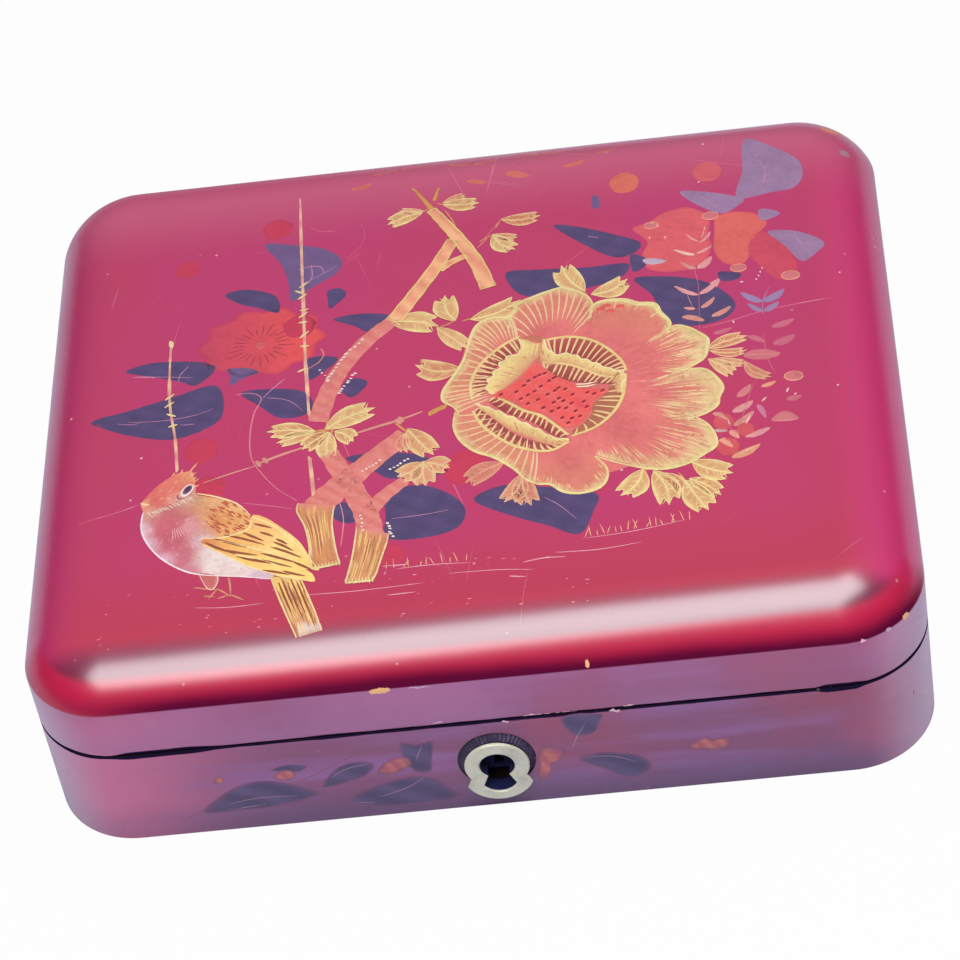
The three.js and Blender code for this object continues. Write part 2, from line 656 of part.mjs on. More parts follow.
function lockBolt() {
  const bar = block(-WORKS_HALF, WORKS_HALF - BOLT_TRAVEL, BOLT_FLOOR, BOLT_TOP, BOLT_BACK, BOLT_FRONT);
  const top = BOLT_TOP + THROUGH;
  const cuts = hookPlaces().flatMap((x) => {
    const mouth = x - MOUTH_REACH;
    const right = x + HOOK_STEM / 2 + HOOK_CLEARANCE;
    const floor = HOOK_TIP - HOOK_CLEARANCE;
    return [
      block(mouth, right, floor, top, 0, WALL),
      block(mouth - BOLT_TRAVEL, right, floor, HOOK_FOOT_TOP + HOOK_CLEARANCE, 0, WALL),
    ];
  });
  const talonLeft = -(BOLT_TRAVEL + TALON_WIDTH) / 2;
  const talonTop = KEY_HEIGHT + KEY_REACH + HOOK_CLEARANCE;
  cuts.push(block(talonLeft, talonLeft + TALON_WIDTH, BOLT_FLOOR - THROUGH, talonTop, 0, WALL));
  const bay = springBay();
  cuts.push(block(bay.start, bay.end, bay.floor, top, 0, WALL));
  return toGeometry(cut(toSolid(bar), cuts));
}

function boltSpring() {
  const bay = springBay();
  const half = (bay.end - bay.start) / 2 - SEAT_GAP;
  const radius = (half ** 2 + SPRING_ARCH ** 2) / (2 * SPRING_ARCH);
  const sweep = Math.asin(half / radius);
  const strip = new THREE.Shape();
  strip.absarc(0, 0, radius + SPRING_THICKNESS, RIGHT_ANGLE - sweep, RIGHT_ANGLE + sweep);
  strip.absarc(0, 0, radius, RIGHT_ANGLE + sweep, RIGHT_ANGLE - sweep, true);
  const spring = slab(strip, BOLT_BACK, BOLT_FRONT, ARC_STEPS);
  const top = BOLT_TOP - radius - SPRING_THICKNESS;
  return spring.translate((bay.start + bay.end) / 2, top, 0);
}

function linkScrewPlaces() {
  const x = LINK_LENGTH / 2 - LINK_SCREW_MARGIN;
  return [-x, x].map((place) => ({ x: place, y: LID_FLOOR, z: SELVEDGE_WIDTH / 2 }));
}

function linkScrewSeats() {
  return linkScrewPlaces().map(({ x, y, z }) => {
    return screwSeat().rotateX(RIGHT_ANGLE).translate(x, y, z);
  });
}

function linkPlate() {
  const half = LINK_LENGTH / 2;
  const ceiling = LID_FLOOR + LINK_THICKNESS;
  const strip = block(-half, half, LID_FLOOR, ceiling, 0, SELVEDGE_WIDTH);
  const hooks = hookPlaces().flatMap((x) => {
    const left = x - HOOK_STEM / 2;
    const right = x + HOOK_STEM / 2;
    return [
      block(left, right, HOOK_TIP, ceiling, BOLT_BACK, BOLT_FRONT),
      block(left - BOLT_TRAVEL, right, HOOK_TIP, HOOK_FOOT_TOP, BOLT_BACK, BOLT_FRONT),
    ];
  });
  return toGeometry(cut(join(toSolid(strip), hooks), linkScrewSeats()));
}

// The assembly

function screwPiece(name, x, y, z, tilt) {
  const screw = piece(name, screwGeometry(), brass);
  screw.position.set(x, y, z);
  screw.rotation.x = tilt;
  return screw;
}

function hinge({ side, x }) {
  const group = new THREE.Group();
  group.position.set(x, PIN_Y, PIN_Z);
  const pin = barAlongX(PIN_RADIUS, -HINGE_LENGTH / 2, HINGE_LENGTH / 2);
  group.add(
    piece(`hinge_base_leaf_${side}`, hingeLeaf(-1), brass),
    piece(`hinge_lid_leaf_${side}`, hingeLeaf(1), brass),
    piece(`hinge_pin_${side}`, pin, brass),
  );
  leafScrewPlaces().forEach((place, k) => {
    const z = PARTING_GAP / 2;
    group.add(screwPiece(`hinge_base_screw_${side}_${k + 1}`, place.x, place.y, -z, 0));
    group.add(screwPiece(`hinge_lid_screw_${side}_${k + 1}`, place.x, place.y, z, Math.PI));
  });
  return group;
}

function lockAndEscutcheon() {
  const frame = lockFrame();
  frame.add(
    piece('escutcheon_collar', escutcheonCollar(), patina),
    piece('escutcheon_plate', escutcheonPlate(), nickel),
    piece('lock_plate', lockPlate(), brass),
    piece('lock_cap', lockCap(), brass),
    piece('lock_bolt', lockBolt(), steel),
    piece('bolt_spring', boltSpring(), steel),
    piece('link_plate', linkPlate(), brass),
  );
  lockScrewPlaces().forEach(({ x, y }, k) => {
    frame.add(screwPiece(`lock_screw_${k + 1}`, x, y, 0, Math.PI));
  });
  linkScrewPlaces().forEach(({ x, y, z }, k) => {
    frame.add(screwPiece(`link_screw_${k + 1}`, x, y, z, RIGHT_ANGLE));
  });
  return frame;
}

// The origin lies under the middle of the whole, from the escutcheon's face to the knuckles.
function lockbox() {
  const box = new THREE.Group();
  const front = -BOX_DEPTH / 2 - PLATE_PROUD;
  const back = Math.max(BOX_DEPTH / 2, PIN_Y + KNUCKLE_RADIUS);
  box.position.y = -(front + back) / 2;
  box.add(
    piece('base_wall_ring', baseWallRing(), red),
    piece('base_bottom_board', baseBottomBoard(), black),
    piece('lid_rim_ring', lidRimRing(), red),
    piece('lid_top_panel', lidTopPanel(), red),
    ...hingeSides.map(hinge),
    lockAndEscutcheon(),
  );
  return box;
}

export default lockbox();
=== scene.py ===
import random
from math import acos, asin, atan2, cos, exp, floor, hypot, pi, radians, sin, tan

import bmesh
import bpy
from mathutils import Matrix, Vector


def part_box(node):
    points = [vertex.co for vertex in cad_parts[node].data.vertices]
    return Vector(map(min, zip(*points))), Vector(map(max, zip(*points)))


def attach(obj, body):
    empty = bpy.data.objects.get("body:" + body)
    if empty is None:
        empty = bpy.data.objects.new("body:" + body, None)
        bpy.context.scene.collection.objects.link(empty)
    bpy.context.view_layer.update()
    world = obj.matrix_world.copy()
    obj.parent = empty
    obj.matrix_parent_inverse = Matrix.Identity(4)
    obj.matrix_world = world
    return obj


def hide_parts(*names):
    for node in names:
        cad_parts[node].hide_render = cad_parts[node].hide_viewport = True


# The lacquer lockbox is seen from above its front, a little from the right, through a long lens
# that stands well back. All places are in metres; MM turns the maker's millimetres into them.

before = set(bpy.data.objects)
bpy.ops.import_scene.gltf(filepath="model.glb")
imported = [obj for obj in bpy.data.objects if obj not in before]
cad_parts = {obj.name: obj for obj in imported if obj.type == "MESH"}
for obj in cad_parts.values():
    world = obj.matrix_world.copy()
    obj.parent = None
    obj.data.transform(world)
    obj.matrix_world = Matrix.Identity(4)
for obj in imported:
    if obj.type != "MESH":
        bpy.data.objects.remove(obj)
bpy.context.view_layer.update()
MM = 0.001

LENS = 145.8
CAMERA_PLACE = Vector((80.4, -652.4, 661.4)) * MM
CAMERA_TURN = radians(7.05)
CAMERA_PITCH = radians(44.39)
CAMERA_ROLL = radians(-10.81)

bpy.ops.object.camera_add(location=CAMERA_PLACE)
camera = bpy.context.object
camera.data.lens = LENS
camera.data.sensor_width = 36
back = Vector((
    sin(CAMERA_TURN) * cos(CAMERA_PITCH),
    -cos(CAMERA_TURN) * cos(CAMERA_PITCH),
    sin(CAMERA_PITCH),
))
camera.rotation_mode = "QUATERNION"
camera.rotation_quaternion = (
    (-back).to_track_quat("-Z", "Y") @ Matrix.Rotation(CAMERA_ROLL, 3, "Z").to_quaternion()
)
camera.data.clip_start = 0.01
bpy.context.scene.camera = camera
bpy.context.scene.view_settings.view_transform = "Standard"

# The table is a broad matt sheet laid just under the box. It shows white to the camera and keeps
# the box's shadow. The calls that build its material from nodes serve every finish after it.

TABLE_SIZE = 6.0
TABLE_DROP = 0.05 * MM
TABLE_GREY = (0.53, 0.52, 0.60, 1)
TABLE_GLOW = 0.97
WHITE = (1, 1, 1, 1)


def new_material(name):
    material = bpy.data.materials.new(name)
    material.use_nodes = True
    tree = material.node_tree
    tree.nodes.clear()
    output = tree.nodes.new("ShaderNodeOutputMaterial")
    surface = tree.nodes.new("ShaderNodeBsdfPrincipled")
    tree.links.new(surface.outputs["BSDF"], output.inputs["Surface"])
    return material, tree, surface


def join(tree, value, socket):
    """Links a socket to what feeds it, or sets it to a plain value."""
    if isinstance(value, bpy.types.NodeSocket):
        tree.links.new(value, socket)
    else:
        socket.default_value = value


def add_node(tree, kind, inputs=(), **settings):
    node = tree.nodes.new("ShaderNode" + kind)
    for key, value in settings.items():
        setattr(node, key, value)
    for key, value in dict(inputs).items():
        join(tree, value, node.inputs[key])
    return node


def maths(tree, operation, a, b=0.0):
    return add_node(tree, "Math", {0: a, 1: b}, operation=operation).outputs[0]


def times(tree, a, b):
    return maths(tree, "MULTIPLY", a, b)


def deselect():
    bpy.ops.object.select_all(action="DESELECT")


deselect()
bpy.ops.mesh.primitive_plane_add(size=TABLE_SIZE, location=(0, 0, -TABLE_DROP))
table = bpy.context.object
table.name = "table"
material, tree, surface = new_material("table_matt")
surface.inputs["Base Color"].default_value = TABLE_GREY
surface.inputs["Roughness"].default_value = 0.9
surface.inputs["Specular IOR Level"].default_value = 0.1
glow = add_node(tree, "Emission", {"Color": WHITE, "Strength": 1.0})
seen = add_node(tree, "LightPath").outputs["Is Camera Ray"]
share = times(tree, seen, TABLE_GLOW)
blend = add_node(tree, "MixShader", {0: share, 1: surface.outputs[0], 2: glow.outputs[0]})
tree.links.new(blend.outputs[0], tree.nodes["Material Output"].inputs["Surface"])
table.data.materials.append(material)

# A long soft window above the front draws the bright band on the lid's rolled edge, and a broad
# sheet overhead and behind evens out the rest. The room is bluish behind and dark in front, so
# that the foot of the rolled edge stays dark; the red lacquer paints shade along it as well.

WINDOW_PLACE = Vector((0.03, -0.386, 0.86))
WINDOW_SIZE = (1.1, 0.48)
WINDOW_POWER = 10.0
WINDOW_TILT = 0.6
SHEET_PLACE = Vector((0.25, 0.45, 1.10))
SHEET_SIZE = (1.4, 1.0)
SHEET_POWER = 1.8
ROOM_LOW = (0.05, 0.045, 0.07, 1)
ROOM_BACK = (0.44, 0.42, 0.54, 1)
ROOM_LEAN = 0.35
ROOM_DAWN = (0.15, 0.95)


def plus(tree, a, b):
    return maths(tree, "ADD", a, b)


def fade(tree, value, low, high, to_low=0.0, to_high=1.0):
    """Goes softly from to_low to to_high while the value goes from low to high."""
    node = add_node(tree, "MapRange", {"Value": value}, interpolation_type="SMOOTHSTEP")
    for name, number in (("From Min", low), ("From Max", high), ("To Min", to_low), ("To Max", to_high)):
        node.inputs[name].default_value = number
    return node.outputs[0]


def mix(tree, factor, a, b, blend="MIX"):
    node = add_node(tree, "Mix", data_type="RGBA", blend_type=blend)
    for number, value in ((0, factor), (6, a), (7, b)):
        join(tree, value, node.inputs[number])
    return node.outputs[2]


def hang_lamp(name, place, size, power, tilt=0.0):
    lamp = bpy.data.objects.new(name, bpy.data.lights.new(name, "AREA"))
    bpy.context.scene.collection.objects.link(lamp)
    lamp.data.shape = "RECTANGLE"
    lamp.data.size, lamp.data.size_y = size
    lamp.data.energy = power
    lamp.location = place
    lamp.rotation_mode = "QUATERNION"
    aim = (-place).to_track_quat("-Z", "Y")
    lamp.rotation_quaternion = aim @ Matrix.Rotation(tilt, 3, "Z").to_quaternion()
    return lamp


hang_lamp("window", WINDOW_PLACE, WINDOW_SIZE, WINDOW_POWER, WINDOW_TILT)
sheet = hang_lamp("overhead_sheet", SHEET_PLACE, SHEET_SIZE, SHEET_POWER)
sheet.visible_glossy = False

world = bpy.data.worlds.new("room")
bpy.context.scene.world = world
world.use_nodes = True
tree = world.node_tree
tree.nodes.clear()
toward = add_node(tree, "TexCoord").outputs["Generated"]
parts = add_node(tree, "SeparateXYZ", {0: toward}).outputs
rise = plus(tree, parts["Z"], times(tree, parts["Y"], ROOM_LEAN))
colour = mix(tree, fade(tree, rise, *ROOM_DAWN), ROOM_LOW, ROOM_BACK)
seen = add_node(tree, "LightPath").outputs["Is Camera Ray"]
colour = mix(tree, seen, colour, WHITE)
backdrop = add_node(tree, "Background", {"Color": colour, "Strength": 1.0})
output = add_node(tree, "OutputWorld")
tree.links.new(backdrop.outputs[0], output.inputs["Surface"])


# The carcass is bent softwood under many thin coats of lacquer: crimson, and mauve on the upright
# walls with a painted lilac reflection of the table, black inside, with scratches, specks and worn edges.

BOX_WIDTH = 200 * MM
BOX_DEPTH = 172.5 * MM
CORNER_RADIUS = 19.5 * MM
WALL = 7.5 * MM
CORNER_STEPS = 24
RING_LOW, RING_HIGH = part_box("base_wall_ring")
LID_LOW, LID_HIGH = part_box("lid_rim_ring")
MIDDLE_Y = (RING_LOW.y + RING_HIGH.y) / 2
FRONT = RING_LOW.y
RIM = RING_HIGH.z
LID_FLOOR = LID_LOW.z


def minus(tree, a, b):
    return maths(tree, "SUBTRACT", a, b)


def larger(tree, a, b):
    return maths(tree, "MAXIMUM", a, b)


def coordinates(tree, stretch=(1, 1, 1), turn=(0, 0, 0)):
    place = add_node(tree, "TexCoord").outputs["Object"]
    return add_node(tree, "Mapping", {"Vector": place, "Rotation": turn, "Scale": stretch}).outputs[0]


def grain(tree, place, scale, detail=3.0, roughness=0.5):
    settings = {"Vector": place, "Scale": scale, "Detail": detail, "Roughness": roughness}
    return add_node(tree, "TexNoise", settings).outputs["Fac"]


def bump(tree, surface, height, strength, distance):
    node = add_node(tree, "Bump", {"Strength": strength, "Distance": distance, "Height": height})
    tree.links.new(node.outputs[0], surface.inputs["Normal"])


def srgb(red, green, blue):
    def linear(part):
        part /= 255
        return part / 12.92 if part <= 0.04045 else ((part + 0.055) / 1.055) ** 2.4
    return (linear(red), linear(green), linear(blue), 1.0)


def coat_over(tree, mask, colour, tint):
    """Lays a tint over a colour where the mask says."""
    return mix(tree, mask, colour, srgb(*tint))


def mask_group(name, masks, dial, value):
    """A node group that puts out masks and takes one number; the masks are filled in later."""
    group = bpy.data.node_groups.new(name, "ShaderNodeTree")
    for mask in masks:
        group.interface.new_socket(mask, in_out="OUTPUT", socket_type="NodeSocketFloat")
    socket = group.interface.new_socket(dial, in_out="INPUT", socket_type="NodeSocketFloat")
    socket.default_value = value
    given = group.nodes.new("NodeGroupInput")
    return group, given.outputs[dial], group.nodes.new("NodeGroupOutput").inputs


# Scratches run four ways over what faces up, each a turn and a place in the noise.
SCRATCHES = ((0.35, 1.7), (-0.75, 5.1), (1.25, 9.4), (-1.4, 3.3))
SCRATCH_STRETCH = (22, 1500, 40)
RUB_STRETCH = (14, 14, 1300)
RUB_TURN = (0.04, 0, 0)
HAIRLINE = (0.80, 0.85)


def wear_group():
    """Scratches, specks and a slow unevenness, as masks over the lacquer."""
    masks = ("Scratches", "Specks", "Cloud", "Ripple", "Streak")
    group, age, made = mask_group("lacquer_wear", masks, "Age", 1.0)
    facts = add_node(group, "TexCoord").outputs
    facing = add_node(group, "SeparateXYZ", {0: facts["Normal"]}).outputs["Z"]
    place = coordinates(group)
    total = None
    for turn, seed in SCRATCHES:
        turned = add_node(group, "VectorRotate", {"Vector": facts["Object"], "Angle": turn},
                          rotation_type="Z_AXIS").outputs[0]
        drawn = add_node(group, "Mapping", {"Vector": turned, "Scale": SCRATCH_STRETCH,
                                            "Location": (seed, seed, seed)}).outputs[0]
        lines = fade(group, grain(group, drawn, 1.0, 0.0), *HAIRLINE)
        total = lines if total is None else larger(group, total, lines)
    rubbed = fade(group, grain(group, coordinates(group, RUB_STRETCH, RUB_TURN), 1.0, 0.0), *HAIRLINE)
    total = times(group, total, fade(group, facing, 0.80, 0.92))
    rubbed = times(group, rubbed, fade(group, facing, 0.5, 0.3))
    patch = fade(group, grain(group, place, 34, 2), 0.52, 0.66)
    scratches = times(group, times(group, larger(group, total, rubbed), patch), age)
    cells = add_node(group, "TexVoronoi", {"Vector": place, "Scale": 230})
    specks = fade(group, cells.outputs["Distance"], 0.11, 0.05)
    few = fade(group, grain(group, place, 60, 2), 0.58, 0.64)
    group.links.new(scratches, made["Scratches"])
    group.links.new(times(group, times(group, specks, few), age), made["Specks"])
    group.links.new(grain(group, place, 16, 4, 0.55), made["Cloud"])
    group.links.new(grain(group, place, 55, 1, 0.4), made["Ripple"])
    group.links.new(grain(group, coordinates(group, (13, 13, 120)), 1.0, 3, 0.6), made["Streak"])
    return group


lacquer_wear = wear_group()

# Where the lacquer has chipped: the middle and reach of each chip in millimetres, and its colour.
PALE_CHIP = (232, 186, 200)
WOOD_CHIP = (236, 182, 128)
LILAC_CHIP = (196, 158, 190)
CHIPS = [
    ((-20, -85.4, 41.1), (2.4, 1.3, 0.62), WOOD_CHIP), ((-11.3, -85.4, 41.1), (2.5, 0.7, 0.24), LILAC_CHIP),
    ((25.6, -84.8, 42.8), (0.55, 1.0, 1.1), WOOD_CHIP), ((-9, -85.4, 29.0), (1.2, 1.0, 0.45), LILAC_CHIP),
    ((15.5, -85.4, 28.5), (6.8, 1.0, 0.17), PALE_CHIP), ((30, -85.4, 27.3), (1.3, 1.0, 0.28), PALE_CHIP),
    ((33, -85.4, 28.6), (1.2, 1.0, 0.22), PALE_CHIP), ((5.8, -85.4, 27.3), (0.8, 1.0, 0.3), PALE_CHIP),
    ((85.2, -85.2, 41.3), (1.0, 0.8, 0.36), PALE_CHIP), ((91.0, -82.4, 41.3), (0.9, 0.8, 0.36), LILAC_CHIP),
    ((94.9, -78.9, 41.5), (0.9, 1.0, 0.95), WOOD_CHIP), ((88.6, -74.2, 47.0), (0.9, 0.5, 1.0), PALE_CHIP),
    ((-81, -73.8, 49.2), (0.8, 0.8, 1.2), PALE_CHIP), ((95.4, -79.5, 16.0), (0.35, 0.9, 1.6), (96, 44, 76)),
]
CHIP_RAGGED = 1.4 * MM


# The lid's crimson, and where it changes: what is measured, where the change starts and where it
# is full, and the tint. Later changes lie over earlier ones. The last is painted shade, darker on
# the front roll where the window's highlight lies.
CRIMSON = (174, 18, 84)
CRIMSON_WARM = (176, 22, 72)
CRIMSON_CHANGES = (
    ("wavy_edge", 0.078, 0.105, (172, 20, 70)), ("along", -0.045, -0.074, (172, 18, 54)),
    ("edge", 0.083, 0.096, (176, 24, 84)), ("across", 0.081, 0.095, (194, 28, 94)),
    ("along", 0.048, 0.080, (184, 76, 104)), ("along", -0.0715, -0.0775, (118, 6, 52)),
)
FRONT_ROLL = (-0.060, -0.079)
ROLL_SHADE = (0.0486, 0.0470)
ROLL_SHADE_RED = (188, 18, 62)
ROLL_FOOT = (0.0484, 0.0442)
ROLL_FOOT_PAINTED_SHADE = (90, 2, 46)
FOOT_TO_LEFT = (-0.099, -0.064, 0.2, 1.0)
# The walls' mauve, paler at both ends, with lilac streaks, rosy clouds and a darker foot. The lid's
# lilac band and the grey at the walls' rounded ends are painted reflection of the pale table.
MAUVE = (128, 46, 100)
MAUVE_END = (206, 98, 140)
LEFT_END = (-0.040, -0.092)
RIGHT_END = (0.074, 0.098)
LILAC_STREAK = (140, 78, 142)
ROSY_CLOUD = (150, 38, 80)
LID_BAND = (0.026, 0.030)
LID_BAND_PAINTED_REFLECTION = (166, 92, 142)
WALL_FOOT = (0.014, 0.0, 0.0, 0.8)
WALL_FOOT_INDIGO = (74, 36, 92)
WALL_EDGE_FADE = (0.084, 0.099, 0.0, 0.75)
WALL_EDGE_PAINTED_REFLECTION = (188, 158, 182)
# The dark line between base and lid is a little ragged, and wider at two places along it.
GAP_LOW = (0.0276, 0.0278)
GAP_HIGH = (0.0283, 0.0281)
GAP_RAGGED = 0.8 * MM
GAP_WIDER = 0.6 * MM
GAP_WIDE_PLACES = ((-0.071, 0.013, 0.006), (0.0795, 0.006, 0.003))
GAP_SHADOW = (22, 8, 44)
RIM_BLACK = (36, 22, 26)
SCRATCH_PINK = (228, 150, 172)
SPECK_PINK = (236, 190, 190)


def red_lacquer():
    """Crimson on the lid, deeper at its edges, with painted shade on the front roll under its highlight and
    a painted maroon shade along its foot; mauve walls with painted reflection.
    """
    material, tree, surface = new_material("red_lacquer")
    wear = add_node(tree, "Group", node_tree=lacquer_wear).outputs
    facts = add_node(tree, "TexCoord").outputs
    place = add_node(tree, "SeparateXYZ", {0: facts["Object"]}).outputs
    facing = add_node(tree, "SeparateXYZ", {0: facts["Normal"]}).outputs["Z"]
    across, along, high = place["X"], place["Y"], place["Z"]
    cloud = wear["Cloud"]
    edge = maths(tree, "ABSOLUTE", across)
    wavy_edge = plus(tree, edge, times(tree, cloud, 0.03))
    measured = {"across": across, "along": along, "edge": edge, "wavy_edge": wavy_edge}
    crimson = mix(tree, fade(tree, cloud, 0.35, 0.66), srgb(*CRIMSON), srgb(*CRIMSON_WARM))
    for measure, start, full, tint in CRIMSON_CHANGES:
        crimson = coat_over(tree, fade(tree, measured[measure], start, full), crimson, tint)
    front_roll = fade(tree, along, *FRONT_ROLL)
    under = times(tree, fade(tree, high, *ROLL_SHADE), front_roll)
    crimson = coat_over(tree, under, crimson, ROLL_SHADE_RED)
    # Painted shade: a dark maroon line along the foot of the front roll, weaker towards the left corner.
    foot = fade(tree, plus(tree, high, times(tree, cloud, 0.004)), *ROLL_FOOT)
    foot = times(tree, times(tree, foot, front_roll), fade(tree, across, *FOOT_TO_LEFT))
    crimson = coat_over(tree, foot, crimson, ROLL_FOOT_PAINTED_SHADE)

    end = larger(tree, fade(tree, across, *LEFT_END), fade(tree, across, *RIGHT_END))
    # The mauve is partly the lacquer's own colour and partly a painted lilac reflection of the pale table.
    mauve = mix(tree, end, srgb(*MAUVE), srgb(*MAUVE_END))
    streak = times(tree, fade(tree, wear["Streak"], 0.42, 0.68), minus(tree, 1.0, end))
    mauve = coat_over(tree, streak, mauve, LILAC_STREAK)
    mauve = coat_over(tree, fade(tree, cloud, 0.50, 0.70), mauve, ROSY_CLOUD)
    # Painted reflection: the lid's band below the arris is tinted lilac.
    band_reflection = times(tree, fade(tree, high, *LID_BAND), fade(tree, cloud, 0.62, 0.40, 0.35, 0.9))
    mauve = coat_over(tree, band_reflection, mauve, LID_BAND_PAINTED_REFLECTION)
    low = times(tree, fade(tree, high, *WALL_FOOT), fade(tree, end, 0.0, 1.0, 1.0, 0.5))
    mauve = coat_over(tree, low, mauve, WALL_FOOT_INDIGO)
    # Painted reflection: grey towards the walls' rounded ends.
    mauve = coat_over(tree, fade(tree, edge, *WALL_EDGE_FADE), mauve, WALL_EDGE_PAINTED_REFLECTION)
    upright = fade(tree, facing, 0.34, 0.24)
    colour = mix(tree, upright, crimson, mauve)

    wide = None
    for middle, reach, full in GAP_WIDE_PLACES:
        near = fade(tree, maths(tree, "ABSOLUTE", minus(tree, across, middle)), reach, full)
        wide = near if wide is None else larger(tree, wide, near)
    ragged = times(tree, grain(tree, coordinates(tree), 90, 3), GAP_RAGGED)
    ragged = plus(tree, times(tree, wide, GAP_WIDER), ragged)
    gap = fade(tree, plus(tree, high, ragged), *GAP_LOW)
    gap = times(tree, gap, fade(tree, minus(tree, high, ragged), *GAP_HIGH))
    flat = fade(tree, maths(tree, "ABSOLUTE", facing), 0.8, 0.95)
    colour = mix(tree, gap, colour, mix(tree, flat, srgb(*GAP_SHADOW), srgb(*RIM_BLACK)))
    colour = coat_over(tree, times(tree, wear["Scratches"], 0.3), colour, SCRATCH_PINK)
    colour = coat_over(tree, times(tree, wear["Specks"], 0.7), colour, SPECK_PINK)

    noise = add_node(tree, "TexNoise", {"Vector": coordinates(tree), "Scale": 700,
                                        "Detail": 2}).outputs["Color"]
    torn = add_node(tree, "VectorMath", {0: noise, 1: (0.5, 0.5, 0.5)}, operation="SUBTRACT").outputs[0]
    torn = add_node(tree, "VectorMath", {0: torn, "Scale": CHIP_RAGGED}, operation="SCALE").outputs[0]
    torn = add_node(tree, "VectorMath", {0: torn, 1: facts["Object"]}, operation="ADD").outputs[0]
    chipped = None
    for spot, reach, tint in CHIPS:
        near = add_node(tree, "VectorMath", {0: torn, 1: Vector(spot) * MM},
                        operation="SUBTRACT").outputs[0]
        near = add_node(tree, "VectorMath", {0: near, 1: Vector(reach) * MM}, operation="DIVIDE").outputs[0]
        far = add_node(tree, "VectorMath", {0: near}, operation="LENGTH").outputs["Value"]
        chip = fade(tree, far, 1.05, 0.9)
        colour = coat_over(tree, chip, colour, tint)
        chipped = chip if chipped is None else larger(tree, chipped, chip)
    tree.links.new(colour, surface.inputs["Base Color"])

    # The gloss is all in the clear coat, which has gone from the gap, the roll's foot and the back.
    rough = fade(tree, grain(tree, coordinates(tree), 40, 4), 0.3, 0.7, 0.26, 0.36)
    rough = plus(tree, rough, times(tree, wear["Scratches"], 0.2))
    rear = times(tree, fade(tree, along, 0.064, 0.080), fade(tree, across, 0.02, -0.05, 0.15, 0.6))
    dull = larger(tree, gap, times(tree, foot, minus(tree, 1.0, upright)))
    dull = larger(tree, dull, larger(tree, chipped, rear))
    tree.links.new(fade(tree, dull, 0.0, 1.0, 1.0, 0.0), surface.inputs["Coat Weight"])
    tree.links.new(plus(tree, rough, times(tree, dull, 0.45)), surface.inputs["Roughness"])
    surface.inputs["Specular IOR Level"].default_value = 0.08
    surface.inputs["Coat Roughness"].default_value = 0.26
    surface.inputs["Coat IOR"].default_value = 1.9
    height = minus(tree, wear["Ripple"], times(tree, wear["Scratches"], 0.2))
    bump(tree, surface, minus(tree, height, chipped), 0.2, 0.1 * MM)
    return material


def black_lacquer():
    material, tree, surface = new_material("black_lacquer")
    wear = add_node(tree, "Group", node_tree=lacquer_wear).outputs
    colour = mix(tree, wear["Cloud"], srgb(22, 14, 16), srgb(40, 26, 27))
    colour = coat_over(tree, times(tree, wear["Scratches"], 0.4), colour, (120, 100, 96))
    tree.links.new(colour, surface.inputs["Base Color"])
    rough = fade(tree, wear["Cloud"], 0.3, 0.7, 0.28, 0.42)
    tree.links.new(rough, surface.inputs["Roughness"])
    bump(tree, surface, wear["Ripple"], 0.25, 0.08 * MM)
    return material


def bare_wood():
    material, tree, surface = new_material("bare_wood")
    fibres = grain(tree, coordinates(tree, (60, 900, 1400)), 1.0, 4, 0.6)
    colour = mix(tree, fade(tree, fibres, 0.3, 0.7), srgb(196, 150, 104), srgb(238, 208, 168))
    tree.links.new(colour, surface.inputs["Base Color"])
    surface.inputs["Roughness"].default_value = 0.8
    bump(tree, surface, fibres, 0.5, 0.1 * MM)
    return material


red = red_lacquer()
black = black_lacquer()
wood = bare_wood()


def take_up(obj):
    deselect()
    obj.select_set(True)
    bpy.context.view_layer.objects.active = obj


def start_edit(obj):
    take_up(obj)
    bpy.ops.object.mode_set(mode="EDIT")


def keep_face(obj, wanted):
    """Selects the one face that is wanted, by its middle and normal."""
    shell = bmesh.from_edit_mesh(obj.data)
    shell.faces.ensure_lookup_table()
    for part in (*shell.verts, *shell.edges, *shell.faces):
        part.select = False
    chosen = max(shell.faces, key=lambda face: wanted(face.calc_center_median(), face.normal, face))
    chosen.select = True
    shell.select_flush(True)
    bmesh.update_edit_mesh(obj.data)


def rounded_blank(name, low, high):
    """A closed block with the box's rounded plan, its place in its mesh, and its three finishes."""
    deselect()
    bpy.ops.mesh.primitive_plane_add(size=1, location=(0, MIDDLE_Y, low))
    blank = bpy.context.object
    blank.name = name
    blank.scale = (BOX_WIDTH, BOX_DEPTH, 1)
    bpy.ops.object.transform_apply(location=True, rotation=True, scale=True)
    start_edit(blank)
    bpy.ops.mesh.select_all(action="SELECT")
    bpy.ops.mesh.bevel(offset=CORNER_RADIUS, segments=CORNER_STEPS, affect="VERTICES", clamp_overlap=False)
    bpy.ops.mesh.select_all(action="SELECT")
    bpy.ops.mesh.extrude_region_move(TRANSFORM_OT_translate={"value": (0, 0, high - low)})
    bpy.ops.mesh.select_all(action="SELECT")
    bpy.ops.mesh.normals_make_consistent(inside=False)
    for finish in (red, black, wood):
        blank.data.materials.append(finish)
    return blank


def facing_up(middle, normal, face):
    return normal.z * face.calc_area()


def facing_down(middle, normal, face):
    return -normal.z * face.calc_area()


def inset_by(thickness, depth=0.0):
    bpy.ops.mesh.inset(thickness=thickness, depth=depth, use_even_offset=True)


def push(height):
    bpy.ops.mesh.extrude_region_move(TRANSFORM_OT_translate={"value": (0, 0, height)})


def apply_modifier(obj, kind, **settings):
    take_up(obj)
    modifier = obj.modifiers.new(kind.lower(), kind)
    for key, value in settings.items():
        setattr(modifier, key, value)
    bpy.ops.object.modifier_apply(modifier=modifier.name)


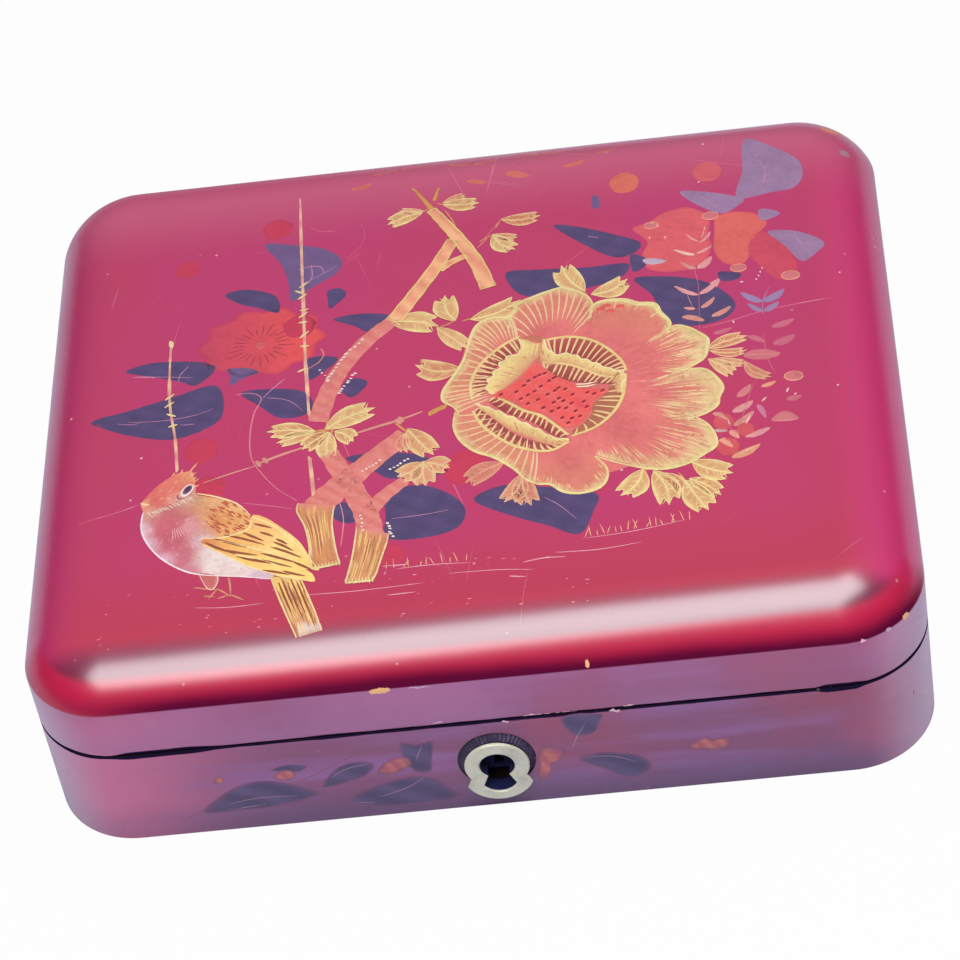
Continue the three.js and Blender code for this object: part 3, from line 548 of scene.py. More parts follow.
def cutter(kind, place, stretch=(1, 1, 1), turn=(0, 0, 0), lining=None, **settings):
    """A block or cylinder that is cut out of the wood and then thrown away."""
    deselect()
    getattr(bpy.ops.mesh, f"primitive_{kind}_add")(location=place, rotation=turn, **settings)
    tool = bpy.context.object
    tool.scale = stretch
    bpy.ops.object.transform_apply(location=True, rotation=True, scale=True)
    tool.data.materials.append(lining or wood)
    return tool


def cut_away(obj, tools):
    for tool in tools:
        apply_modifier(obj, "BOOLEAN", operation="DIFFERENCE", object=tool, solver="EXACT")
        bpy.data.objects.remove(tool)


def node_block(node, room):
    """A block over a CAD node's box, with room round it."""
    low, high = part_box(node)
    return cutter("cube", (low + high) / 2, high - low + Vector((2, 2, 2)) * room, lining=black, size=1)


HINGE_LINE = Vector((0, 85.65, 28.0)) * MM
HINGE_BEVEL = radians(51)
HINGE_ROOM = 0.6 * MM
LEAF_SLOT = 3.1 * MM
BARREL_BORE = 2.2 * MM
EXACT = 0.001 * MM


def bevel_back_edge(obj, side):
    """Slopes the back arris down from the hinge pin's line; side is -1 for the base, 1 for the lid."""
    start_edit(obj)
    bpy.ops.mesh.select_all(action="SELECT")
    slope = (0, sin(HINGE_BEVEL), -side * cos(HINGE_BEVEL))
    bpy.ops.mesh.bisect(plane_co=HINGE_LINE, plane_no=slope, use_fill=True, clear_outer=True,
                        threshold=EXACT)
    bpy.ops.object.mode_set(mode="OBJECT")


def fit_hinges(obj, half):
    """Cuts room for the hinge leaves and barrels into a carcass piece's back edge."""
    tools = []
    for side in ("left", "right"):
        low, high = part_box(f"hinge_{half}_leaf_{side}")
        middle = ((low + high) / 2).x
        width = high.x - low.x + HINGE_ROOM
        tools.append(cutter("cube", (middle, MIDDLE_Y + BOX_DEPTH / 2, HINGE_LINE.z),
                            (width, 2 * WALL, LEAF_SLOT),
                            size=1))
        tools.append(cutter("cylinder", (middle, HINGE_LINE.y, HINGE_LINE.z), turn=(0, pi / 2, 0),
                            vertices=32, radius=BARREL_BORE, depth=width))
    cut_away(obj, tools)


def finish_shell(obj, body, angle=25):
    take_up(obj)
    bpy.ops.object.shade_smooth_by_angle(angle=radians(angle))
    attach(obj, body)


# The base is a bent ring of wood, lacquered red outside and black inside, on a bottom board that
# is glued into a rebate inside its foot.

RIM_EASE = 0.25 * MM
BOARD_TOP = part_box("base_bottom_board")[1].z
REBATE = 3 * MM
BOARD_ROOM = 0.2 * MM

base = rounded_blank("base_shell", 0, RIM - RIM_EASE)
keep_face(base, facing_up)
inset_by(RIM_EASE, RIM_EASE)
inset_by(WALL - RIM_EASE)
push(-(RIM - BOARD_TOP))
keep_face(base, facing_down)
inset_by(WALL - REBATE)
push(BOARD_TOP + BOARD_ROOM)
bpy.ops.object.mode_set(mode="OBJECT")

# What the lock, the escutcheon and the hinges take out of the base. The keyhole runs through the
# front wall, and the lock's plate is let in flush with the inner face.

KEYHOLE_X = (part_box("escutcheon_plate")[0].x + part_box("escutcheon_plate")[1].x) / 2
KEYHOLE_Z = 15.1 * MM
COLLAR_LOW, COLLAR_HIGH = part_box("escutcheon_collar")
SEAT_ROOM = 0.3 * MM
KEYHOLE_BOW = 4.9 * MM
KEYHOLE_SLOT = (7.6 * MM, WALL * 1.2, 7.4 * MM)
KEYHOLE_SLOT_DROP = 5.5 * MM

collar_radius = (COLLAR_HIGH.x - COLLAR_LOW.x) / 2 + SEAT_ROOM
mid_wall = FRONT + WALL / 2
bored = {"turn": (pi / 2, 0, 0), "lining": black}
tools = [
    node_block("lock_plate", SEAT_ROOM),
    cutter("cylinder", (KEYHOLE_X, FRONT, KEYHOLE_Z),
     vertices=96, radius=collar_radius, depth=2 * (COLLAR_HIGH.y - FRONT), **bored),
    cutter("cylinder", (KEYHOLE_X, mid_wall, KEYHOLE_Z),
     vertices=48, radius=KEYHOLE_BOW, depth=WALL * 1.2, **bored),
    cutter("cube", (KEYHOLE_X, mid_wall, KEYHOLE_Z - KEYHOLE_SLOT_DROP),
     KEYHOLE_SLOT, lining=black, size=1),
]
cut_away(base, tools)
fit_hinges(base, "base")
bevel_back_edge(base, -1)


def side_distance(x, y):
    """How far a point of the plan lies inside the box's outline; y is measured from the middle."""
    out_x = abs(x) - (BOX_WIDTH / 2 - CORNER_RADIUS)
    out_y = abs(y) - (BOX_DEPTH / 2 - CORNER_RADIUS)
    beyond = hypot(max(out_x, 0), max(out_y, 0))
    return CORNER_RADIUS - beyond - min(max(out_x, out_y), 0)


def line_inside(obj, low, high):
    """Gives every face that looks into the box the black lacquer's slot."""
    for face in obj.data.polygons:
        x, y, z = face.center
        if side_distance(x, y - MIDDLE_Y) > WALL * 0.98 and low <= z <= high + 0.1 * MM:
            face.material_index = 1


line_inside(base, 0, RIM)
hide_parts("base_wall_ring")
finish_shell(base, "base")


# The lid is a second bent ring under a glued-on top board. The board's roll-over is part of an
# ellipse that leaves the arris at a tilt, its crown rises a little to the middle, and it is
# hollowed inside with a cove. One coat of lacquer runs over both.

ARRIS = LID_HIGH.z + SEAT_ROOM
TOP_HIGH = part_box("lid_top_panel")[1]
DOME_INSET = 17 * MM
DOME_CROWN = 2 * MM
DOME_RISE = TOP_HIGH.z - DOME_CROWN - ARRIS
DOME_EDGE = radians(22)
DOME_STEPS = 28
CROWN_PITCH = 5 * MM
CEILING = TOP_HIGH.z - 7 * MM
LEDGE = 2 * MM
CEILING_INSET = 3 * MM
COVE = 3 * MM
COVE_STEPS = 8

edge_tilt = tan(DOME_EDGE)
dome_start = asin(edge_tilt / (DOME_INSET / DOME_RISE - edge_tilt))
dome_reach = DOME_INSET / cos(dome_start)
dome_height = DOME_RISE / (1 - sin(dome_start))


def dome_point(share):
    """Inset from the side and rise over the arris, a share of the way up the roll-over."""
    turn = dome_start + (pi / 2 - dome_start) * share
    return (dome_reach * (cos(dome_start) - cos(turn)), dome_height * (sin(turn) - sin(dome_start)))


def lid_height(x, y):
    """The height of the lacquer on the lid over a point of its plan."""
    inset = side_distance(x, y)
    if inset < DOME_INSET:
        turn = acos(max(0.0, cos(dome_start) - max(inset, 0) / dome_reach))
        return ARRIS + dome_height * (sin(turn) - sin(dome_start))
    share_x = 1 - (x / (BOX_WIDTH / 2 - DOME_INSET)) ** 2
    share_y = 1 - (y / (BOX_DEPTH / 2 - DOME_INSET)) ** 2
    return ARRIS + DOME_RISE + DOME_CROWN * max(share_x, 0) * max(share_y, 0)


def cove_point(share):
    """Inset and rise of the hollow's cove."""
    turn = pi / 2 * share
    return (COVE * (1 - cos(turn)), COVE * sin(turn))


def inset_along(curve, steps, side):
    """Insets the chosen face step by step along a curve; side is 1 upwards in the normal's way."""
    before = (0.0, 0.0)
    for step in range(1, steps + 1):
        point = curve(step / steps)
        inset_by(point[0] - before[0], side * (point[1] - before[1]))
        before = point


lid = rounded_blank("lid_shell", LID_FLOOR + RIM_EASE, ARRIS)
keep_face(lid, facing_up)
inset_along(dome_point, DOME_STEPS, 1)

# The flat left in the middle is cut into small squares, which the crown then lifts.
keep_face(lid, facing_up)
half_x = BOX_WIDTH / 2 - DOME_INSET
half_y = BOX_DEPTH / 2 - DOME_INSET
for half, normal in ((half_x, (1, 0, 0)), (half_y, (0, 1, 0))):
    count = 2 * floor(half / CROWN_PITCH)
    for step in range(1, count):
        across = -half + 2 * half * step / count
        spot = Vector(normal) * across + Vector((0, MIDDLE_Y, 0))
        shell = bmesh.from_edit_mesh(lid.data)
        for part in shell.faces:
            part.select = part.normal.z > 0.999
        shell.select_flush(True)
        bmesh.update_edit_mesh(lid.data)
        bpy.ops.mesh.bisect(plane_co=spot, plane_no=normal)
shell = bmesh.from_edit_mesh(lid.data)
for spot in shell.verts:
    if spot.co.z > ARRIS + DOME_RISE - 0.01 * MM:
        spot.co.z = max(spot.co.z, lid_height(spot.co.x, spot.co.y - MIDDLE_Y))
bmesh.update_edit_mesh(lid.data)

keep_face(lid, facing_down)
inset_by(RIM_EASE, RIM_EASE)
inset_by(WALL - RIM_EASE)
push(ARRIS - LEDGE - LID_FLOOR)
inset_by(CEILING_INSET)
push(CEILING - COVE - ARRIS + LEDGE)
inset_along(cove_point, COVE_STEPS, -1)
bpy.ops.object.mode_set(mode="OBJECT")
fit_hinges(lid, "lid")
low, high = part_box("link_plate")
cut_away(lid, [cutter("cube", ((low.x + high.x) / 2, (low.y + high.y) / 2, LID_FLOOR),
                      (high.x - low.x + 2 * SEAT_ROOM, high.y - low.y + 2 * SEAT_ROOM,
                       2 * (high.z - LID_FLOOR + SEAT_ROOM)), size=1)])
bevel_back_edge(lid, 1)
line_inside(lid, 0, CEILING)
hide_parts("lid_rim_ring", "lid_top_panel")
finish_shell(lid, "lid")


def dress(node, finish):
    """Gives a CAD node that stays in sight its own finish."""
    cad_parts[node].data.materials.clear()
    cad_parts[node].data.materials.append(finish)


dress("base_bottom_board", black)


# The lid and the front are painted in raised lacquer: indigo leaves and red blossoms lie lowest,
# then the coral branch, the peony and the bird, and fine gold comes last. Each kind of paint is
# one thin skin of closed strokes that follow the lacquer. The painter's sizes are millimetres.

PAINT_SUNK = 0.012
FIRST_COAT = 0.105
FILM = 0.05
GROUND_COAT = 0.02
VEIN_COAT = 0.035
LACQUER = (188, 34, 78)


def on_lid(across, along, lift):
    x = across * MM
    y = along * MM
    return Vector((x, MIDDLE_Y + y, lid_height(x, y) + lift * MM))


def on_front(across, up, lift):
    return Vector((across * MM, FRONT - lift * MM, up * MM))


def blend_tint(a, b, share):
    return tuple(p + (q - p) * share for p, q in zip(a, b))


def wave(phase):
    """A soft swing between 0 and 1."""
    return 0.5 + 0.5 * sin(phase)


def between(start, end, share):
    return (start[0] + (end[0] - start[0]) * share, start[1] + (end[1] - start[1]) * share)


def sideways(line, k):
    """The unit step to the left of a line at its point k."""
    ahead = line[min(k + 1, len(line) - 1)]
    behind = line[max(k - 1, 0)]
    run = hypot(ahead[0] - behind[0], ahead[1] - behind[1]) or 1.0
    return -(ahead[1] - behind[1]) / run, (ahead[0] - behind[0]) / run


class Paint:
    """The strokes of one kind of paint. A sheet is a closed film over a grid of plan points: its
    rim meets the lacquer, or the paint below when it lies high, and its middle stands proud."""

    def __init__(self, name, ground):
        self.name = name
        self.ground = ground
        self.spots = []
        self.faces = []
        self.tints = []

    def sheet(self, rows, lift, tint):
        tall = len(rows)
        wide = len(rows[0])
        foot = self.foot(lift)
        upper = {}
        lower = {}
        for r, row in enumerate(rows):
            for c, (u, v) in enumerate(row):
                colour = tint(u, v, r / (tall - 1), c / (wide - 1)) if callable(tint) else tint
                on_rim = r in (0, tall - 1) or c in (0, wide - 1)
                upper[r, c] = self.spot(u, v, foot if on_rim else lift, colour)
                lower[r, c] = upper[r, c] if on_rim else self.spot(u, v, foot, colour)
        (u0, v0), (u1, v1), (u2, v2) = rows[0][0], rows[-1][0], rows[tall // 2][-1]
        flip = (u1 - u0) * (v2 - v0) - (v1 - v0) * (u2 - u0) > 0
        for r in range(tall - 1):
            for c in range(wide - 1):
                corners = ((r, c), (r, c + 1), (r + 1, c + 1), (r + 1, c))
                top = [upper[corner] for corner in corners]
                below = [lower[corner] for corner in corners]
                self.faces.append(top[::-1] if not flip else top)
                self.faces.append(below if not flip else below[::-1])

    def foot(self, lift):
        return -PAINT_SUNK if lift <= FIRST_COAT else lift - FILM

    def spot(self, u, v, lift, colour):
        self.spots.append(self.ground(u, v, lift))
        self.tints.append(colour)
        return len(self.spots) - 1

    def patch(self, outline, lift, tint, edge=None, rings=(1.0, 0.95, 0.6, 0.25), steps=4, soft=0):
        """A filled shape inside a soft closed outline, drawn in rings about its middle."""
        rim = smooth_line(outline, steps, closed=True)
        mid_u = sum(u for u, v in rim) / len(rim)
        mid_v = sum(v for u, v in rim) / len(rim)
        area = sum(a[0] * b[1] - b[0] * a[1] for a, b in zip(rim, rim[1:] + rim[:1]))
        if area < 0:
            rim.reverse()
        levels = []
        for number, ring in enumerate(rings):
            level = []
            for u, v in rim:
                x = mid_u + (u - mid_u) * ring
                y = mid_v + (v - mid_v) * ring
                colour = tint(x, y) if callable(tint) else tint
                if number <= soft and edge:
                    colour = blend_tint(colour, edge[:3], edge[3])
                height = self.foot(lift) if number == 0 else lift
                level.append(self.spot(x, y, height, colour))
            levels.append(level)
        colour = tint(mid_u, mid_v) if callable(tint) else tint
        top = self.spot(mid_u, mid_v, lift, colour)
        below = self.spot(mid_u, mid_v, self.foot(lift), colour)
        count = len(rim)
        for k in range(count):
            n = (k + 1) % count
            for outer, inner in zip(levels, levels[1:]):
                self.faces.append([outer[k], outer[n], inner[n], inner[k]])
            self.faces.append([levels[-1][k], levels[-1][n], top])
            self.faces.append([levels[0][n], levels[0][k], below])

    def stroke(self, points, width, lift, tint, start=0.35, end=0.1, steps=4, bulge=0.0):
        """A brush stroke along a soft line, drawn thinner towards its start and end."""
        line = smooth_line(points, steps)
        rows = []
        last = len(line) - 1
        for k, (u, v) in enumerate(line):
            share = k / last
            side_u, side_v = sideways(line, k)
            fullness = min(1.0, start + (1 - start) * share / 0.3)
            fullness *= min(1.0, end + (1 - end) * (1 - share) / 0.4)
            half = width / 2 * (fullness + bulge * sin(pi * share))
            rows.append([(u + side_u * half * s, v + side_v * half * s) for s in (-1, 0, 1)])
        self.sheet(rows, lift, tint)

    def dry(self, body, material):
        mesh = bpy.data.meshes.new(self.name)
        mesh.from_pydata(self.spots, [], self.faces)
        pigment = mesh.color_attributes.new("pigment", "FLOAT_COLOR", "POINT")
        shades = []
        for tint in self.tints:
            shades += srgb(*tint[:3])[:3] + (tint[3] if len(tint) > 3 else 0.0,)
        pigment.data.foreach_set("color", shades)
        piece = bpy.data.objects.new(self.name, mesh)
        bpy.context.scene.collection.objects.link(piece)
        piece.data.materials.append(material)
        start_edit(piece)
        bpy.ops.mesh.select_all(action="SELECT")
        bpy.ops.mesh.normals_make_consistent(inside=False)
        bpy.ops.object.mode_set(mode="OBJECT")
        finish_shell(piece, body, angle=60)


def smooth_line(points, steps=4, closed=False):
    """A soft curve through the points, with so many short straights between each two."""
    count = len(points)
    line = []
    for k in range(count if closed else count - 1):
        if closed:
            a, b, c, d = (points[(k + n) % count] for n in (-1, 0, 1, 2))
        else:
            a, b, c, d = (points[min(max(k + n, 0), count - 1)] for n in (-1, 0, 1, 2))
        for s in range(steps):
            t = s / steps
            line.append(tuple(
                0.5 * (2 * q + (r - p) * t + (2 * p - 5 * q + 4 * r - w) * t * t
                       + (3 * q - p - 3 * r + w) * t ** 3)
                for p, q, r, w in zip(a, b, c, d)
            ))
    if not closed:
        line.append(tuple(points[-1]))
    return line


PAINT_DEPTH = (0.87, 0.87, 0.87, 1)
PAINT_DARKER = (0.84, 0.78, 0.76, 1)


def paint_material(name, roughness, coat):
    """Pigment in lacquer: its colour comes with the stroke, and the alpha says how much is gold."""
    material, tree, surface = new_material(name)
    pigment = add_node(tree, "Attribute", attribute_name="pigment").outputs
    fine = grain(tree, coordinates(tree), 900, 3, 0.6)
    broad = grain(tree, coordinates(tree), 180, 3, 0.6)
    uneven = plus(tree, times(tree, fine, 0.5), times(tree, broad, 0.5))
    darker = mix(tree, 1.0, pigment["Color"], PAINT_DARKER, "MULTIPLY")
    colour = mix(tree, fade(tree, uneven, 0.60, 0.30), pigment["Color"], darker)
    colour = mix(tree, 1.0, colour, PAINT_DEPTH, "MULTIPLY")
    tree.links.new(colour, surface.inputs["Base Color"])
    tree.links.new(times(tree, pigment["Alpha"], 0.25), surface.inputs["Metallic"])
    tree.links.new(plus(tree, times(tree, fine, 0.15), roughness), surface.inputs["Roughness"])
    surface.inputs["Coat Weight"].default_value = coat
    surface.inputs["Coat Roughness"].default_value = 0.2
    bump(tree, surface, fine, 0.3, 0.03 * MM)
    return material


flat_paint = paint_material("flat_paint", 0.32, 0.6)
raised_paint = paint_material("raised_paint", 0.40, 0.3)
brush = random.Random(7)
vary = brush.uniform


# The indigo leaves are the lowest paint: thin blue-black washes half sunk in the red ground, with
# soft edges and a thin pale vein in the larger ones.

INDIGO = (68, 54, 98)
SLATE = (108, 82, 128)
HAZY = (158, 122, 156)
VEIN = (196, 130, 160)
SOFT_EDGE = LACQUER + (0.45,)
INDIGO_LEAVES = [
    ([(-87, -3.5), (-78, -1.5), (-68, 1), (-58, 3.5), (-55.3, -1), (-55.5, -8), (-60, -11.5), (-67, -13.2),
     (-75, -11), (-82, -7.5)], INDIGO),
    ([(-79.5, 12), (-74, 13.8), (-66, 13), (-59, 11), (-57.5, 8.5), (-62, 4), (-66, 6), (-73, 9)], INDIGO),
    ([(-47.5, 51.5), (-40, 50), (-33, 47.5), (-28.3, 42.5), (-29.5, 37.5), (-35, 33.5), (-40, 29),
     (-41, 35), (-43, 43)], SLATE),
    ([(-56.5, 34.5), (-52, 35.7), (-46, 33.5), (-43.3, 30.5), (-43, 25.5), (-48, 28.2), (-53, 30.8)],
     INDIGO),
    ([(-31.5, 31.5), (-28.5, 32), (-27, 29.5), (-29, 26.5), (-31, 25), (-31.4, 28)], INDIGO),
    ([(-30, 21), (-24, 22), (-16.5, 20.3), (-18, 17), (-20.8, 14.5), (-25, 17.8)], INDIGO),
    ([(-35.8, 8.5), (-31, 8.5), (-28.5, 7), (-31, 4), (-35, 1), (-35.6, 5)], INDIGO),
    ([(-26.5, -0.5), (-23.5, -0.3), (-21.5, -2.5), (-25, -6.5), (-27.5, -4)], INDIGO),
    ([(-51.5, -0.5), (-45, -0.2), (-37, -2.2), (-34, -7), (-36, -10.5), (-42, -10.5), (-46.5, -6)], INDIGO),
    ([(-55, 8.3), (-50, 7.8), (-47, 5.8), (-50.5, 4.5), (-54, 2.5), (-54, 5.5)], SLATE),
    ([(-26.5, -26), (-20, -25.2), (-12, -26.5), (-6, -29.5), (-2.5, -33.5), (-8, -34.5), (-16, -34),
     (-20, -31)], INDIGO),
    ([(-17, -38), (-9, -36.8), (-2, -41), (1, -46), (-1, -51), (-8, -53), (-16.8, -52), (-17.2, -45)],
     INDIGO),
    ([(2.5, -43), (9, -39.5), (18, -41), (30, -44.5), (29.5, -50), (26, -56.5), (19, -53), (10, -48.5)],
     INDIGO),
    ([(11, 31), (20, 30.8), (30, 30), (40, 30), (38, 25), (28, 22), (18, 21), (13, 24)], INDIGO),
    ([(22.5, 46.5), (29, 45), (37, 41), (43, 37.3), (42, 33.8), (37, 32.5), (30, 38)], INDIGO),
    ([(69.3, 72), (75, 69), (81.5, 63), (83, 57), (80.5, 52), (75, 51), (66.5, 50), (68.3, 60)], HAZY),
    ([(53, 54.3), (58, 54), (68, 50), (66.5, 47), (62.5, 45), (57, 49)], HAZY),
    ([(41, 24.5), (50, 24), (58, 21), (63.5, 15), (64, 10.5), (60, 7), (52, 6.2), (47.5, 10), (45, 18)],
     INDIGO),
    ([(73, 37), (80, 36.3), (86, 32), (84.5, 28.5), (80.5, 25.5), (77, 31)], HAZY),
    ([(71.5, 45), (74, 45), (76.5, 43), (72, 41)], HAZY),
    ([(61, 24.2), (66, 23), (65, 21), (61.5, 20.8)], INDIGO),
    ([(32, 56), (33.5, 56), (34, 52), (32.2, 51.5)], SLATE),
    ([(40.6, 33), (44, 31.5), (44, 28.5), (41, 26.8)], INDIGO),
    ([(-32, -38.5), (-24, -41), (-24, -46), (-28, -45)], INDIGO),
]
LEAF_VEINS = [
    [(-79, -5.2), (-70, -6.4), (-62, -6), (-57, -4.2)], [(-81, -5.2), (-77, -6.3), (-74.5, -6)],
    [(-66, -8.6), (-61, -9)], [(-78, 9.9), (-70, 8.4), (-62, 6.6)], [(-38, 35), (-33, 37.8), (-28.6, 41)],
    [(71.5, 66), (73.8, 60), (73.2, 55), (71.6, 52)], [(57, 53), (60, 49.8), (63, 45)],
    [(79, 36), (80.5, 32), (82.3, 27.8)], [(-17, -46.2), (-9, -46), (-2, -45.2)],
    [(18, -44), (22, -47.5), (26, -52.5)], [(30, 41.5), (34, 40)], [(-46, -3), (-40, -5), (-36, -9.8)],
]

LEAF_RINGS = (1.0, 0.96, 0.88, 0.79, 0.7, 0.6, 0.48, 0.36, 0.24, 0.12)
leaves = Paint("lid_indigo_leaves", on_lid)
for outline, tint in INDIGO_LEAVES:
    def washed(u, v, tint=tint):
        cloud = 0.5 + 0.5 * sin(u * 0.7 + v * 0.4) * cos(v * 0.9)
        return blend_tint(tint, SLATE, (0.15 if tint == HAZY else 0.35) * cloud)
    leaves.patch(outline, GROUND_COAT, washed, SOFT_EDGE, rings=LEAF_RINGS, steps=6)
for vein in LEAF_VEINS:
    leaves.stroke(vein, 0.55, VEIN_COAT, VEIN, start=0.3, end=0.3)
leaves.dry("lid", flat_paint)


# Red blossoms and buds lie in the ground beside the leaves. They are thin washes of vermilion
# with a scalloped rim, and the round one on the left has dark rays drawn from its middle.

BLOSSOM = (206, 50, 66)
RAY = (128, 26, 44)
BLOSSOM_EDGE = LACQUER + (0.55,)


def scalloped(middle, radius, lobes, depth, squash=1.0, turn=0.0):
    outline = []
    for k in range(lobes * 4):
        angle = 2 * pi * k / (lobes * 4) + turn
        reach = radius * (1 - depth * (0.5 + 0.5 * cos((angle - turn) * lobes)))
        outline.append((middle[0] + reach * cos(angle), middle[1] + squash * reach * sin(angle)))
    return outline


blossoms = Paint("lid_red_blossoms", on_lid)
MUM = (-47.3, 15.2)
MUM_LEFT = (198, 58, 82)
MUM_RIGHT = (226, 74, 70)
MUM_RAYS = 23
MUM_BUTTON = (206, 84, 84)


def mum_wash(u, v):
    """Redder and hazier to the left, more orange to the right."""
    return blend_tint(MUM_LEFT, MUM_RIGHT, min(1.0, max(0.0, (u + 59) / 22)))


blossoms.patch(scalloped((-47, 16), 15.7, 10, 0.12, 0.78, 0.3), GROUND_COAT, mum_wash, BLOSSOM_EDGE,
               rings=(1.0, 0.975, 0.9, 0.6, 0.25), soft=1)
# On the right two broad blossoms have run together, orange red and without rays.
ORANGE_RED = (222, 96, 84)
RIGHT_BLOSSOMS = [
    ([(70, 38), (75, 35), (79, 27), (79, 20), (74, 20), (70, 26), (67.5, 31)], (204, 62, 82)),
    ([(41, 42.6), (45, 44.5), (49, 47.5), (54, 49), (58, 47), (60, 43), (59.5, 38), (60, 33), (58, 28),
     (54, 25.5), (48, 25.4), (44, 27.5), (43, 32), (44.5, 37)], (220, 88, 92)),
    ([(61, 44), (65, 45.5), (70, 44.5), (73.5, 40.5), (71, 36.5), (69, 33), (68.5, 28.5), (66, 25.5),
     (62, 27), (60, 32), (60.5, 38)], ORANGE_RED),
]
for outline, tint in RIGHT_BLOSSOMS:
    blossoms.patch(outline, GROUND_COAT, tint, BLOSSOM_EDGE, rings=(1.0, 0.9, 0.6, 0.25))
BERRY = (210, 76, 80)
BERRIES = [
    (40, 60, 3.7, (216, 104, 78)), (60, 61, 3.6, (210, 86, 92)), (59.4, -26, 2.4, BERRY),
    (60, -34, 2.6, BERRY), (64.2, -29, 2.0, BERRY),
]
for u, v, radius, tint in BERRIES:
    blossoms.patch(scalloped((u, v), radius, 5, 0.05, 1.1, u), GROUND_COAT, tint, BLOSSOM_EDGE)
for k in range(MUM_RAYS):
    angle = 2 * pi * k / MUM_RAYS + 0.1
    reach = vary(7.4, 11.2)
    inner = (MUM[0] + 2.4 * cos(angle), MUM[1] + 2.4 * sin(angle))
    outer = (MUM[0] + reach * cos(angle), MUM[1] + reach * 0.86 * sin(angle))
    blossoms.stroke([inner, outer], 0.6, VEIN_COAT, RAY, start=0.4, end=0.2, steps=3)
blossoms.patch(scalloped(MUM, 1.35, 6, 0.05), 0.06, MUM_BUTTON)
BUD_TINT = blend_tint(BLOSSOM, LACQUER, 0.5)
BUDS = [
    (-44.3, 56.5, 3.9), (-66, 45.5, 3.2), (-60, -18, 4.2), (-38, 20, 4.2), (1, -33, 5.5), (-16, -57, 3.5),
    (-58, -31, 4.5),
]
for u, v, radius in BUDS:
    blossoms.patch(scalloped((u, v), radius, 5, 0.08, 1.0, u), GROUND_COAT, BUD_TINT, BLOSSOM_EDGE,
                   rings=(1.0, 0.96, 0.8, 0.5, 0.25), soft=1)
blossoms.dry("lid", flat_paint)


# The cut branch is laid in raised coral lacquer. Its upper limbs are outlined in gold, its thorns
# are white dots, and its two stumps are brushed with gold and brown bark.

CORAL = (224, 138, 122)
CORAL_DARK = (214, 112, 102)
GOLD = (244, 214, 128, 1.0)
GOLD_PALE = (246, 226, 160, 1.0)
GOLD_DEEP = (222, 160, 80, 1.0)
THORN = (246, 226, 214)
LIMB_GRID = (-1, -0.85, -0.3, 0.3, 0.85, 1)


def limb(paint, points, first, last, tint, outline=None, lift=0.09):
    """A straight-ended length of branch, as wide at its ends as first and last say."""
    line = smooth_line(points, 6)
    rows = []
    for k, (u, v) in enumerate(line):
        side_u, side_v = sideways(line, k)
        half = (first + (last - first) * k / (len(line) - 1)) / 2 * (1 + 0.05 * sin(k * 1.9))
        rows.append([(u + side_u * half * s, v + side_v * half * s) for s in LIMB_GRID])
    paint.sheet(rows, lift, tint)
    if outline:
        for side in (0, 5):
            paint.stroke([row[side] for row in rows], 0.42, lift + 0.05, outline, start=0.8, end=0.8,
                         steps=1)
        for row in (rows[0], rows[-1]):
            paint.stroke([row[0], row[5]], 0.42, lift + 0.05, outline, start=0.9, end=0.9, steps=2)


def coral_wash(u, v, r, c):
    return blend_tint(CORAL, CORAL_DARK, wave(u * 1.3 + v * 1.7))


def golden_wash(u, v, r, c):
    return blend_tint((246, 184, 132), (230, 146, 112), wave(u * 1.1 + v * 0.8))


branch = Paint("lid_coral_branch", on_lid)


def stump_tint(u, v, r, c):
    bark = blend_tint((226, 158, 96), (190, 108, 70), abs(c - 0.5) * 1.4)
    return blend_tint(bark, CORAL, max(0.0, 1 - 4.5 * r)) + (0.5 * min(1.0, 4 * r),)


# Each limb: its middle line, its widths at the start and the end, its wash and its outline.
LIMBS = [
    ([(-33, -13.2), (-31, -5), (-28, 3), (-22, 12), (-15.5, 18.5)], 4.9, 3.9, coral_wash, None),
    ([(-15.6, 18), (-11.5, 25), (-6, 35), (-1.5, 45)], 3.6, 2.8, golden_wash, GOLD),
    ([(-6.8, 57.5), (-4, 52.5), (0, 45), (4, 36), (6.8, 26.3)], 2.2, 3.6, golden_wash, GOLD),
    ([(-4.6, 34.5), (-2, 36.8), (1.6, 38.6)], 1.8, 1.4, golden_wash, GOLD),
    ([(-11.5, 67), (-8.8, 62), (-6.8, 58)], 0.6, 1.4, GOLD_DEEP, None),
    ([(-5, 66), (-6.2, 61)], 0.5, 1.0, GOLD_DEEP, None),
    ([(-30.4, -23.4), (-27.4, -30), (-24, -37.4), (-21.4, -44.6), (-20.6, -50.4)],
     4.4, 6.2, coral_wash, None),
    ([(-12.6, -20.4), (-19, -26.4), (-25.4, -32.4), (-30.4, -37.6), (-33, -41.4)],
     4.8, 8.0, coral_wash, None),
    ([(-12.6, -34.8), (-17, -38.6), (-21, -43.4)], 3.0, 4.2, coral_wash, None),
]
for points, first, last, wash, outline in LIMBS:
    limb(branch, points, first, last, wash, outline)
STUMPS = [
    ([(-37, -38.4), (-37.2, -41), (-35.4, -45.6), (-34.4, -50.6), (-34, -55), (-33.6, -58.8)],
     [(-28.8, -40.2), (-29, -42.4), (-29.2, -46), (-28.8, -50), (-28.2, -54), (-27.4, -58)]),
    ([(-23.6, -47.6), (-23.8, -50), (-24.2, -54), (-24.8, -58), (-25.4, -61), (-26, -63.8)],
     [(-16.4, -50.6), (-16.8, -53), (-17.6, -56), (-18.4, -59), (-19.2, -62), (-20, -64)]),
]
BARK_BROWN = (172, 92, 60)
BARK_GOLD = (246, 206, 128)
